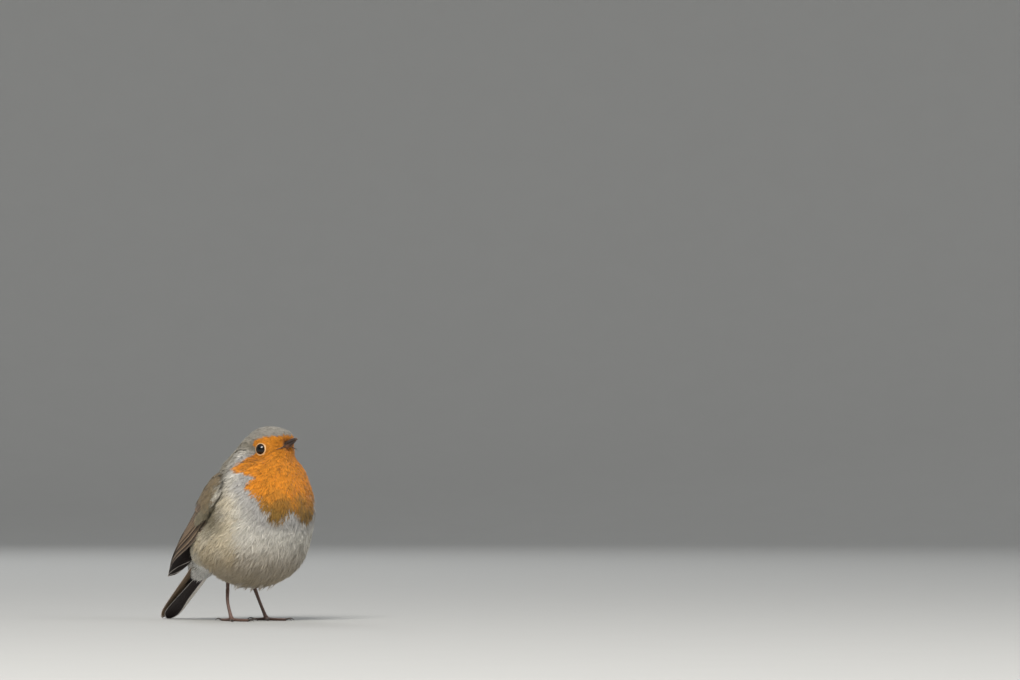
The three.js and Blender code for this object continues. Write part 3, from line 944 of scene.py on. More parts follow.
class ROBIN_OT_skin(bpy.types.Operator):
    """Make the skin: one closed surface in place of the nodes of flesh"""
    bl_idname = "robin.skin"
    bl_label = "Skin"

    def execute(self, context):
        sizes, colours = sizes_of(context), colours_of(context)
        lumps = [solid(*FLESH, swell=FLESH_SWELL), solid("eye_left", "eye_right", swell=SOCKET_SWELL)]
        axes = (TAIL_BACK, TAIL_LEFT, TAIL_UP)
        for down, wide, tall in TAIL_SLEEVE:
            lumps.append(ellipsoid(TAIL_ROOT + TAIL_BACK * down, axes, (SLEEVE_LENGTH, wide, tall)))
        points, faces = remeshed(*joined(lumps), sizes.voxel)
        points = relaxed(points, faces, 30)
        normals = point_normals(points, faces)
        points = points + normals * fullness(points)[:, None]
        depth = coat_depth(points, sizes)
        sunk = 0.3 + 1.0 * smooth(2.0, -0.5, beyond_horn(points))
        points = points - normals * (depth + sunk)[:, None]
        points = tucked(seated(relaxed(points, faces, 6)))
        surface = Surface(points, faces, coat_depth(points[faces].mean(1), sizes))
        BODY["skin"] = surface
        marks = markings(points, surface.point_normals)
        values = {**marks, "tone": 0.4 * ripple(points, 3, 4), "along": np.full(len(points), 0.38)}
        material = plumage_material("skin and down", colours, 0.1, 0.5)
        made = piece("skin", points, faces, material, "plumage_belly", values)
        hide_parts(*FLESH)
        return {"FINISHED"}


def on_head(points):
    """The places on the head where feathers are rooted: not by the lids, on the bill or at the gape."""
    bare = (beyond_horn(points) < 0) | (from_gape(points) < 0.9)
    return (points[..., 2] > 84) & (from_eye(points)[1] > 0.3) & ~bare


# Lengths of the feathers and the spaces between them, by distance from the bill's root, from the
# edge of the lids and from the cuffs.
USUAL_LENGTH = [(0, 1.2), (6, 2.4), (12, 3.8), (20, 6.3), (35, 11), (60, 15.5)]
LENGTH_BY_EYE = [(0.5, 1.1), (2.5, 2.3), (5.5, 4), (11, 20)]
LENGTH_BY_CUFF = [(0, 2.2), (4, 3.2), (9, 8), (14, 20)]
USUAL_SPACING = [(0, 0.45), (10, 0.62), (20, 0.85), (35, 1.2), (60, 1.45)]
SPACING_BY_EYE = [(0.5, 0.36), (2.5, 0.52), (6, 2)]
SPACING_BY_CUFF = [(0, 0.6), (5, 0.9), (9, 2)]


class ROBIN_OT_coat(bpy.types.Operator):
    """Lay the feathers of the head and body over the skin"""
    bl_idname = "robin.coat"
    bl_label = "Coat"

    def execute(self, context):
        sizes, colours = sizes_of(context), colours_of(context)
        skin = BODY["skin"]
        material = plumage_material("contour feathers", colours, 0.35, 0.12)

        def length(points):
            usual = by_table(from_bill(points), USUAL_LENGTH)
            by_eye = by_table(from_eye(points)[1], LENGTH_BY_EYE)
            by_cuff = by_table(from_cuff(points), LENGTH_BY_CUFF)
            down, aside = down_tail(points)
            to_tail = np.where(aside < 17, np.maximum(1.8 - down, 3.0), 20)
            return np.minimum.reduce([usual, by_eye, by_cuff, to_tail])

        def spacing(points):
            usual = by_table(from_bill(points), USUAL_SPACING)
            by_eye = by_table(from_eye(points)[1], SPACING_BY_EYE)
            by_cuff = by_table(from_cuff(points), SPACING_BY_CUFF)
            return np.minimum.reduce([usual, by_eye, by_cuff])

        def body(low, high, least, most):
            """The places between two heights and between two turns to either side."""
            def keep(points, normals):
                turn, height = chart(points)
                turn = np.abs(turn)
                down, aside = down_tail(points)
                return ((height >= low) & (height < high) & (turn >= least) & (turn < most)
                        & (points[..., 2] > 17) & ((down < -3) | (aside > 16)))
            return keep

        def face(points, normals):
            ahead = (points - HEAD_MIDDLE) @ HEAD_AHEAD
            return on_head(points) & (ahead > -2)

        def crown(points, normals):
            ahead = (points - HEAD_MIDDLE) @ HEAD_AHEAD
            return on_head(points) & (ahead <= -2)

        few, many = sizes.face_barbs, sizes.body_barbs
        middling = 14
        parts = [
            ("coat_face", face, HEAD_CORE, few, "plumage_orange"),
            ("coat_crown", crown, HEAD_CORE, few, "plumage_brown"),
            ("coat_throat", body(70, 84, 0, 90), BODY_CORE, middling, "plumage_orange"),
            ("coat_nape", body(66, 84, 90, 181), BODY_CORE, middling, "plumage_brown"),
            ("coat_breast", body(48, 70, 0, 60), BODY_CORE, many, "plumage_orange"),
            ("coat_belly", body(14, 48, 0, 60), BODY_CORE, many, "plumage_belly"),
            ("coat_flanks", body(48, 70, 60, 130), BODY_CORE, many, "plumage_belly"),
            ("coat_thighs", body(14, 48, 60, 130), BODY_CORE, many, "plumage_belly"),
            ("coat_back", body(48, 66, 130, 181), BODY_CORE, many, "plumage_brown"),
            ("coat_rump", body(14, 48, 130, 181), BODY_CORE, many, "plumage_brown"),
        ]

        def lowest(points, normals):
            turn, height = chart(points)
            return (height < 25) & (height > 16) & (from_cuff(points) > 5) & (np.abs(turn) < 75)

        def pale(points, normals):
            marks = markings(points, normals)
            marks["white"] = np.ones_like(marks["bib"])
            return marks

        coat("coat_wisps", skin, lowest, BODY_CORE, everywhere(8.0), everywhere(3.2), 9,
             "plumage_belly", material, 1500, width=0.16, lift=1.0, curl=1.6, marks_of=pale)
        for seed, (name, keep, core, barb_count, slot) in enumerate(parts, 1):
            coat(name, skin, keep, core, length, spacing, barb_count, slot, material, 100 * seed)
        return {"FINISHED"}


# ---- long feathers of wings and tail ----

class Sheet:
    """The outer face of a flat solid, as heights over a plane: a runs along it and b across it.

    The edges of its first part, a share ragged of its length, are carried on straight from the rest.
    Its far end is twisted on its long line."""

    cells = 60
    margin = 4  # beyond the solid's sides
    rounds = 400  # of smoothing
    twist_from, twist_to = 0.52, 0.86  # shares of the length
    twist_behind = 1.7  # how much more the twist is behind the long line than ahead of it

    def __init__(self, nodes, along, across, out, ragged=0.0, twist=0.0):
        points, faces = solid(*nodes)
        self.twist = twist
        self.axes = np.array([along, across, out])
        self.origin = points.mean(0)
        local = (points - self.origin) @ self.axes.T
        self.low, self.high = local.min(0), local.max(0)
        self.a = np.linspace(self.low[0], self.high[0], self.cells + 1)
        self.b = np.linspace(self.low[1] - self.margin, self.high[1] + self.margin, self.cells + 1)
        heights = self.cast(BVHTree.FromPolygons(points.tolist(), faces.tolist()))
        found = ~np.isnan(heights)
        rows = np.flatnonzero(found.any(1))
        first = self.b[found[rows].argmax(1)]
        last = self.b[self.cells - found[rows][:, ::-1].argmax(1)]
        self.edge_a, self.edge_low, self.edge_high = self.a[rows], evened(first), evened(last)
        sound = slice(int(ragged * len(rows)), int(0.7 * len(rows)))
        for edge in (self.edge_low, self.edge_high):
            line = np.polyfit(self.edge_a[sound], edge[sound], 1)
            edge[: sound.start] = np.polyval(line, self.edge_a[: sound.start])
        filled = np.where(found, heights, np.nanmean(heights))
        for _ in range(self.rounds):
            spread = np.pad(filled, 1, mode="edge")
            mean = (spread[:-2, 1:-1] + spread[2:, 1:-1] + spread[1:-1, :-2] + spread[1:-1, 2:]) / 4
            filled = np.where(found, heights * 0.5 + mean * 0.5, mean)
        self.heights = filled

    def cast(self, tree):
        """Heights of the face over the grid, with no number where the solid isn't beneath."""
        out = self.axes[2]
        heights = np.full((len(self.a), len(self.b)), np.nan)
        for i, a in enumerate(self.a):
            for j, b in enumerate(self.b):
                start = self.origin + np.array([a, b, self.high[2] + 5]) @ self.axes
                hit = tree.ray_cast(start.tolist(), (-out).tolist())
                if hit[0] is not None:
                    heights[i, j] = (np.array(hit[0][:]) - self.origin) @ out
        return heights

    def place(self, s, t):
        """Distances along and across, from shares of the length and of the width there."""
        a = self.low[0] + s * (self.high[0] - self.low[0])
        low, high = np.interp(a, self.edge_a, self.edge_low), np.interp(a, self.edge_a, self.edge_high)
        return np.stack([a, low + t * (high - low)], -1)

    def width(self, s):
        """The distance across at a share of the length."""
        return float(np.ptp(self.place(np.array([s, s]), np.array([0, 1]))[:, 1]))

    def lift(self, flat, rise):
        """Points in space, from distances along and across and a rise above the face."""
        last = self.cells - 0.001
        i = np.clip((flat[..., 0] - self.a[0]) / (self.a[1] - self.a[0]), 0, last)
        j = np.clip((flat[..., 1] - self.b[0]) / (self.b[1] - self.b[0]), 0, last)
        k, m = i.astype(int), j.astype(int)
        x, y = i - k, j - m
        z = self.heights
        height = ((z[k, m] * (1 - y) + z[k, m + 1] * y) * (1 - x)
                  + (z[k + 1, m] * (1 - y) + z[k + 1, m + 1] * y) * x)
        share = (flat[..., 0] - self.low[0]) / (self.high[0] - self.low[0])
        turned = np.where(flat[..., 1] < 0, self.twist_behind, 1.0) * flat[..., 1]
        height = height + self.twist * smooth(self.twist_from, self.twist_to, share) * turned
        local = np.stack([flat[..., 0], flat[..., 1], height + rise], -1)
        return self.origin + local @ self.axes


def evened(values):
    """A line of values with its small steps taken out."""
    reach = 3
    count = 2 * reach + 1
    wide = np.pad(values, reach, mode="edge")
    return sum(wide[k:k + len(values)] for k in range(count)) / count


# A long feather's places across, from the edge of one web to the other's, with its shaft at 0.
WEB = np.array([-1, -0.95, -0.62, -0.28, -0.045, 0, 0.045, 0.35, 0.7, 0.95, 1.0])
ROWS = 22  # places along it
SHAFT_RISE = 0.16  # how far the shaft stands out of a feather's webs at its base


def blade_faces():
    """Triangles of a closed blade, halved alike above and beneath so that thin webs never cross."""
    half, count = len(WEB), 2 * len(WEB)
    quads = grid_faces(ROWS, count, True)
    over = (quads[:, 0] % count < half)[:, None]
    first = np.where(over, quads[:, [0, 1, 2]], quads[:, [0, 1, 3]])
    second = np.where(over, quads[:, [0, 2, 3]], quads[:, [1, 2, 3]])
    j = np.arange(half - 1)
    cap = np.concatenate([np.stack([j, j + 1, count - 1 - j], -1),
                          np.stack([j + 1, count - 2 - j, count - 1 - j], -1)])
    return np.concatenate([first, second, cap[:, ::-1], cap + (ROWS - 1) * count])


class Vanes:
    """Collects long feathers, each a thin closed blade with a shaft, into one mesh."""

    def __init__(self, sheet, thickness, seed):
        self.sheet, self.thickness = sheet, thickness
        self.rng = np.random.default_rng(seed)
        self.points, self.values, self.uv = [], [], []

    def add(self, base, tip, inner, outer, rise, drop=0.0, fringe=1.0, bend=0.0, rounding=0.16,
            mirror=1, warm=0.0, pale=0.0, rim=False, borders=None):
        """A feather from base to tip, in shares of the sheet, with the widths of its two webs.

        It rises by rise over the sheet at its base and by drop at its tip. With borders, the inner
        web goes out to the first two shares of the sheet's width, at base and tip, and the outer
        web to the next two."""
        rng, sheet = self.rng, self.sheet
        u = 1 - (1 - np.linspace(0, 1, ROWS)) ** 1.35
        down = u[:, None]
        shares = np.array(base) + (np.array(tip) - np.array(base)) * down
        shares[:, 1] += bend * np.sin(np.pi * u)
        line = sheet.place(shares[:, 0], shares[:, 1])
        ahead = unit(np.gradient(line, axis=0))
        side = np.stack([-ahead[:, 1], ahead[:, 0]], -1)
        span = np.linalg.norm(line[-1] - line[0])

        end = np.clip((u - 1 + rounding) / rounding, 0, 1)
        outline = np.minimum(1, 0.55 + 1.8 * u) * np.sqrt(np.maximum(1 - end ** 2.2, 0.006))
        wave = 1 + 0.012 * np.sin(u * span * 1.3 + rng.uniform(0, 6)) + 0.005 * rng.normal(size=ROWS)
        if borders is not None:
            outline = np.sqrt(np.maximum(1 - end ** 3, 0.006))
            gaps = []
            for near, far in zip(borders[::2], borders[1::2]):
                border = sheet.place(shares[:, 0], near + (far - near) * u)
                gaps.append(np.abs(line[:, 1] - border[:, 1]))
            inner, outer = gaps if len(gaps) == 2 else (gaps[0], outer)
        inner, outer = (np.broadcast_to(web, ROWS)[:, None] for web in (inner, outer))
        width = np.where(WEB < 0, inner, outer) * WEB * (outline * wave)[:, None]

        flat = line[:, None] + side[:, None] * width[..., None]
        camber = -0.06 * width ** 2 / np.maximum(outer + inner, 0.5)
        shaft = np.where(WEB == 0, SHAFT_RISE, 0.0) * (1 - down)
        level = rise + (drop - rise) * down + camber
        thick = self.thickness * np.sqrt(np.maximum(1 - (0.9 * WEB) ** 2, 0))
        thick = thick * (1 - 0.5 * u - 0.45 * u ** 10)[:, None]
        top = sheet.lift(flat, level + thick / 2 + shaft)
        under = sheet.lift(flat, level - thick / 2 - shaft * 0.6)
        self.points.append(np.concatenate([top, under[:, ::-1]], 1).reshape(-1, 3))

        half, count = len(WEB), 2 * len(WEB)
        web = mirror * np.concatenate([WEB, WEB[::-1]]) * np.ones((ROWS, 1))
        barb = down * span - 0.9 * np.abs(np.concatenate([width, width[:, ::-1]], 1))
        beneath = np.concatenate([np.zeros(half), np.ones(half)]) * np.ones((ROWS, 1))
        edge = (1 - np.abs(WEB)) * np.where(WEB < 0, inner, outer) * outline[:, None]
        edge = np.minimum(edge, (1 - down) * span)
        # beneath, painted rim light runs along the edges where rim is set, and pale widens it over the
        # outer web
        below = edge + (not rim) - pale * (WEB * mirror > 0) * smooth(1.0, 0.55, u)[:, None]
        self.values.append({
            "web": web.ravel(), "under": beneath.ravel(), "barb": barb.ravel(),
            "edge": np.concatenate([edge, below[:, ::-1]], 1).ravel(),
            "tone": np.full(ROWS * count, rng.normal()),
            "fringe": np.full(ROWS * count, fringe), "warm": np.full(ROWS * count, warm),
        })
        across = (web + 1) / 4 + 0.5 * beneath
        self.uv.append(np.stack([across.ravel(), np.repeat(u, count)], -1))

    def build(self, name, material, slot):
        """One mesh of all the feathers, each with a cell of the unwrap to itself."""
        count = len(self.points)
        columns = math.ceil(math.sqrt(count))
        rows = math.ceil(count / columns)
        uv = []
        for k, local in enumerate(self.uv):
            cell = np.array([k % columns, k // columns])
            uv.append((cell + 0.04 + 0.92 * local) / [columns, rows])
        values = {key: np.concatenate([v[key] for v in self.values]) for key in self.values[0]}
        points, faces = joined([(points, blade_faces()) for points in self.points])
        return piece(name, points, faces, material, slot, values, np.concatenate(uv))


TIP_TWIST = 0.23  # how much steeper than the frame's solid the wing's far end lies across


def wing_sheet(side):
    """The outer face of a folded wing, from its bend down to its tip."""
    sign = SIDES[side]
    points = corners(f"wing_{side}", f"primaries_{side}")
    along, across, out = np.linalg.svd(points - points.mean(0), full_matrices=False)[2]
    along = along * -np.sign(along[2])
    out = out * np.sign(out[0]) * sign
    across = np.cross(out, along)
    across = across * np.sign(-across[1])
    return Sheet((f"wing_{side}", f"primaries_{side}"), along, across, out, twist=TIP_TWIST)


BARB_PITCH = 0.3  # between the ridges that barbs make on a long feather


def flight_material(name, colours):
    """Close-webbed feathers, with a dark shaft and pale fringes above; beneath, a dark underside of
    painted shade with pale edges of painted rim light.
    """
    found = bpy.data.materials.get(name)
    if found:
        return found
    made, tree = new_material(name)
    web, under = attribute(tree, "web"), attribute(tree, "under")
    aside = sums(tree, "ABSOLUTE", web)
    edge = attribute(tree, "edge")
    # where the painted rim light runs along the edges beneath
    rim = ramp(tree, edge, 0.55, 0.25)
    outer = sums(tree, "MULTIPLY", ramp(tree, edge, 1.1, 0.2), ramp(tree, web, 0.0, 0.1))
    fringe = sums(tree, "MULTIPLY", outer, attribute(tree, "fringe"), clamp=True)
    top = mixed(tree, ramp(tree, web, -1.5, 0.1), shade(colours.dark_web_and_shade), shade(colours.wing))
    top = mixed(tree, fringe, top, shade(colours.fringe))
    shaft = ramp(tree, aside, 0.10, 0.03)
    top = mixed(tree, shaft, top, shade(colours.dark_web_and_shade))
    # the underside: the dark web's colour as painted shade, and where warm, on the right tail feathers,
    # the fringe's tan as painted light
    bottom = mixed(tree, attribute(tree, "warm"), shade(colours.dark_web_and_shade), shade(colours.fringe))
    bottom = mixed(tree, rim, bottom, shade(colours.rim))
    colour = mixed(tree, under, top, bottom)
    colour = toned(tree, colour, sums(tree, "MULTIPLY_ADD", attribute(tree, "tone"), 0.08, 1.0))
    barb = sums(tree, "SINE", sums(tree, "MULTIPLY", attribute(tree, "barb"), 2 * math.pi / BARB_PITCH))
    colour = toned(tree, colour, sums(tree, "MULTIPLY_ADD", barb, 0.07, 1.0))
    colour, normal = with_grain(tree, colour, 0.3, 0.35, 0.15)
    ridges = {"Height": barb, "Strength": 0.35, "Distance": 0.05 * MM, "Normal": normal}
    normal = shader_node(tree, "ShaderNodeBump", ridges).outputs["Normal"]
    finish_material(tree, {
        "Base Color": colour, "Normal": normal, "Roughness": 0.55, "Specular IOR Level": 0.25,
        "Sheen Weight": 0.06, "Sheen Roughness": 0.4,
    })
    return made


# Tips of the primaries, from the innermost to the outermost, in shares of the wing.
PRIMARY_TIPS = [
    (0.74, 0.30), (0.78, 0.31), (0.83, 0.33), (0.88, 0.36), (0.935, 0.40), (0.975, 0.46),
    (1.02, 0.50), (1.0, 0.68), (0.965, 0.86),
]
SECONDARY_TIPS = [(0.60, 0.13), (0.63, 0.155), (0.655, 0.18), (0.68, 0.205), (0.70, 0.23), (0.72, 0.26)]
TERTIAL_TIPS = [(0.56, 0.13), (0.66, 0.15), (0.75, 0.18)]
GREATER_COVERTS = 9
PRIMARY_COVERTS = 6
BASTARD_WING = 3

# Pairs of tail feathers, from the middle one out: where the tip is down the tail, how far it is from
# the middle line in shares of the width, and the width of the inner web.
TAIL_RANKS = [
    (0.985, 0.05, 3.4), (0.995, 0.13, 3.4), (1.0, 0.21, 3.6), (0.995, 0.29, 4.5), (0.985, 0.36, 6.0),
    (0.965, 0.42, 8.0),
]
TAIL_BASE = -0.12  # where the tail's feathers begin, inside the rump


def shoulder_marks(points, normals):
    """Olive that turns brown towards the wing, with a little grey."""
    marks = markings(points, normals)
    none = np.zeros_like(marks["bib"])
    brown = smooth(16, 27, np.abs(points[..., 0])) * 0.7
    return marks | {"bib": none, "buff": none, "olive": none + 1, "brown": brown,
                    "grey": marks["grey"] * 0.3}


def on_wing(points):
    """Shares of the way down the nearer wing and across it, and how far out from its plane."""
    found = []
    for side in SIDES:
        sheet = BODY[f"wing_{side}"]
        local = (points - sheet.origin) @ sheet.axes.T
        down = (local[..., 0] - sheet.low[0]) / (sheet.high[0] - sheet.low[0])
        low = np.interp(local[..., 0], sheet.edge_a, sheet.edge_low)
        high = np.interp(local[..., 0], sheet.edge_a, sheet.edge_high)
        found.append(np.stack([down, (local[..., 1] - low) / (high - low), local[..., 2]], -1))
    return np.moveaxis(np.where((points[..., 0] > 0)[..., None], *found), -1, 0)


def outward(points, normals):
    """How far the surface faces out to the bird's nearer side."""
    return normals[..., 0] * np.sign(points[..., 0])


class ROBIN_OT_shoulders(bpy.types.Operator):
    """Lay the mantle's long feathers and the small coverts over the front of the folded wings"""
    bl_idname = "robin.shoulders"
    bl_label = "Shoulders"

    def execute(self, context):
        material = plumage_material("contour feathers", colours_of(context), 0.35, 0.12)
        depth = 0.6
        surface = BODY["skin"].with_node("wing_left", depth).with_node("wing_right", depth)

        def by_coverts(points, normals):
            down, _, out = on_wing(points)
            upper = (down > -0.02) & (down < 0.22) & (out > -1.2)
            return upper & (outward(points, normals) > 0.1) & (np.abs(points[..., 0]) > 18)

        def by_scapulars(points, normals):
            down, across, _ = on_wing(points)
            inner = (across > -0.5) & (across < 0.22) & (down > -0.15) & (down < 0.5)
            return inner & (normals[..., 1] > 0.05) & (points[..., 2] > 48)

        def by_bend(points, normals):
            down, across, out = on_wing(points)
            front = (across > 0.86) & (across < 1.5) & (down > -0.2) & (down < 0.33)
            bend = (down > -0.32) & (down < 0.0) & (across > 0.1) & (across < 1.5)
            level = (points[..., 2] < 80) & (points[..., 2] > 40)
            return (front | bend) & (outward(points, normals) > -0.3) & (out < 0.4) & level

        def side_marks(points, normals):
            marks = markings(points, normals)
            down, across, _ = on_wing(points)
            edge = smooth(0.84, 0.95, across) * smooth(1.32, 1.12, across)
            marks["white"] = edge * np.exp(-((down - 0.22) / 0.10) ** 2)
            marks["grey"] = marks["grey"] * (1 - marks["white"])
            return marks

        coat("coat_sides", surface, by_bend, BODY_CORE, everywhere(7.5), everywhere(1.4), 18,
             "plumage_belly", material, 2300, width=0.22, lift=0.9, marks_of=side_marks)
        coat("coat_coverts", surface, by_coverts, BODY_CORE, everywhere(5.5), everywhere(1.25), 16,
             "plumage_brown", material, 2100, width=0.3, marks_of=shoulder_marks)
        coat("coat_scapulars", surface, by_scapulars, BODY_CORE, everywhere(12.0), everywhere(1.5), 24,
             "plumage_brown", material, 2200, width=0.2, lift=1.1, marks_of=shoulder_marks, contrast=2.0)
        return {"FINISHED"}


class ROBIN_OT_wings(bpy.types.Operator):
    """Make the folded wings, feather by feather"""
    bl_idname = "robin.wings"
    bl_label = "Wings"

    def execute(self, context):
        sizes, colours = sizes_of(context), colours_of(context)
        material = flight_material("flight feathers", colours)
        for side in SIDES:
            sheet = BODY[f"wing_{side}"] = wing_sheet(side)
            vanes = Vanes(sheet, sizes.vane_thickness / MM, 31)
            # the lowest feathers come first: primaries, secondaries, tertials, then their coverts
            for k, tip in reversed(list(enumerate(PRIMARY_TIPS))):
                outermost = max(k - 5, 0)
                inner = min(4.4, 0.93 * tip[1] * sheet.width(0.9 * tip[0]))
                # the outermost primaries get painted rim light along their edges beneath
                vanes.add((0.30, 0.62 + 0.025 * k), tip, inner, 1.5 + 0.3 * outermost,
                          -1.5 - 0.13 * k - 0.25 * outermost, -0.25 - 0.12 * k - 0.35 * outermost,
                          bend=0.05 + 0.025 * outermost, rounding=0.12 if outermost else 0.16,
                          rim=outermost > 0, borders=(0.05, -0.42) if outermost else None)
            for k, tip in reversed(list(enumerate(SECONDARY_TIPS))):
                vanes.add((0.26, 0.30 + 0.05 * k), tip, 0.9 * tip[1] * sheet.width(tip[0]), 2.0,
                          -0.75 - 0.11 * k, -0.05 - 0.03 * k, bend=0.04)
            for k, tip in reversed(list(enumerate(TERTIAL_TIPS))):
                vanes.add((0.20, 0.12 + 0.05 * k), tip, 2.6, 3.2, -0.1 - 0.15 * k, 0.45 - 0.15 * k,
                          fringe=0.8, rounding=0.34)
            for k in range(GREATER_COVERTS):
                across = 0.22 + 0.075 * k
                vanes.add((0.24, across), (0.45 - 0.012 * k, across - 0.07), 2.0, 1.6,
                          0.1 - 0.05 * k, 0.30 - 0.05 * k, rounding=0.3)
            for k in range(PRIMARY_COVERTS):
                across = 0.80 + 0.022 * k
                vanes.add((0.20, across), (0.46 - 0.02 * k, across - 0.04), 1.3, 0.8,
                          -0.4 - 0.05 * k, -0.35 - 0.05 * k, rounding=0.3)
            for k in range(BASTARD_WING):
                level = 0.1 - 0.1 * k
                vanes.add((0.12, 0.9), (0.30 + 0.035 * k, 0.86 + 0.03 * k), 1.3, 0.7, level, level,
                          rounding=0.3)
            made = vanes.build(f"wing_feathers_{side}", material, "plumage_brown")
            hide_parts(f"wing_{side}", f"primaries_{side}")
        return {"FINISHED"}


class ROBIN_OT_tail(bpy.types.Operator):
    """Make the tail's twelve feathers, the middle pair uppermost, and the coverts round its root"""
    bl_idname = "robin.tail"
    bl_label = "Tail"

    def execute(self, context):
        sizes, colours = sizes_of(context), colours_of(context)
        sheet = Sheet(("tail",), TAIL_BACK, TAIL_LEFT, TAIL_UP, ragged=0.3)
        vanes = Vanes(sheet, sizes.vane_thickness / MM, 47)
        for rank in reversed(range(len(TAIL_RANKS))):
            for sign in (1, -1):
                end, off_middle, inner = TAIL_RANKS[rank]
                left, outermost = sign > 0, rank == len(TAIL_RANKS) - 1
                base = 0.5 + sign * (0.05 + (0.06 if left else 0.09) * rank)
                tip = 0.5 + sign * off_middle
                rise = drop = -0.05 - 0.14 * (2 * rank + left)
                pale, borders = 0.0, None
                # the outermost pair get painted rim light beneath, wider on the left feather
                if outermost and left:
                    base, tip, end = 0.80, 0.62, 1.0
                    rise, drop = rise - 0.6, drop - 0.6
                    pale, borders = 1.4, (0.36, 0.05, 0.97, 0.92)
                elif outermost:
                    borders = (-0.16, 0.02, 0.55, 0.5)
                if not left:
                    rise += 0.4 * rank
                outer = 2.2 - 0.16 * rank
                webs = (inner, outer) if left else (outer, inner)
                # the right feathers' undersides take the fringe's tan as painted light, the left ones
                # the dark web's painted shade
                vanes.add((TAIL_BASE, base), (end, tip), *webs, rise, drop * 0.8, fringe=0.75,
                          rounding=0.14, mirror=sign, warm=0.0 if left else 0.8, pale=pale,
                          rim=outermost, borders=borders)
        made = vanes.build("tail_feathers", flight_material("flight feathers", colours), "plumage_brown")
        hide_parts("tail")

        def near_root(points, normals):
            down, aside = down_tail(points)
            return (down > -9) & (down < -1.5) & (aside < 13) & (points[..., 1] > 8)

        def to_the_end(points):
            down, _ = down_tail(points)
            return np.clip(2.0 - down, 3.0, 8.0)

        def covert_marks(points, normals):
            beneath = 1 - smooth(0.0, 0.35, normals @ TAIL_UP)
            marks = {key: 0 * beneath for key in MARKS}
            return marks | {"white": 0.62 * beneath, "buff": 0.8 * beneath, "olive": 1 - beneath}

        material = plumage_material("contour feathers", colours, 0.35, 0.12)
        coat("coat_tail_coverts", BODY["skin"], near_root, TAIL_ROOT, to_the_end, everywhere(1.15), 18,
             "plumage_belly", material, 2400, width=0.26, lift=0.8, marks_of=covert_marks,
             sink=TAIL_TIP + TAIL_BACK * 30)
        return {"FINISHED"}


# ---- bill, eyes and legs ----

BILL_LENGTH = 12.5  # of the upper half, from inside the feathers to its tip
BILL_WIDTH = 4.6
BILL_DEPTH = 4.5
OVERHANG = 0.8  # how much longer the upper half is
HOOK = 0.4  # how far the upper half's tip bends down
BILL_GAP = 0.03  # between each half and the line where they meet
BILL_ROWS, BILL_COLUMNS = 40, 28

# Half widths and heights of the bill's halves down its length, in shares of its width and depth.
HALF_WIDTHS = [
    (0, 0.5), (0.3, 0.44), (0.55, 0.31), (0.78, 0.19), (0.93, 0.10), (0.985, 0.05), (1, 0.02),
]
UPPER_HEIGHTS = [
    (0, 0.52), (0.3, 0.5), (0.55, 0.46), (0.78, 0.40), (0.93, 0.29), (0.985, 0.17), (1, 0.05),
]
LOWER_HEIGHTS = [
    (0, 0.52), (0.3, 0.46), (0.55, 0.38), (0.78, 0.29), (0.93, 0.18), (0.985, 0.10), (1, 0.03),
]

GAPE_RADIUS = 0.42
BRISTLES = 6  # on each side
BRISTLE_RADIUS = 0.055
WORN_HORN = (0.30, 0.215, 0.16)
FLESHY_HORN = (0.22, 0.105, 0.055)


def horn_material(name, base, light):
    """Satin horn, lighter where it is worn."""
    made, tree = new_material(name)
    worn = attribute(tree, "worn")
    grain = grain_node(tree, 0.9, 0.8)
    patchy = sums(tree, "ADD", worn, grain.outputs["Mask"], clamp=True)
    colour = mixed(tree, patchy, shade(base), shade(light))
    colour, normal = with_grain(tree, colour, 0.25, 0.3, 0.12)
    finish_material(tree, {
        "Base Color": colour, "Normal": normal, "Roughness": 0.38, "Specular IOR Level": 0.5,
    })
    return made


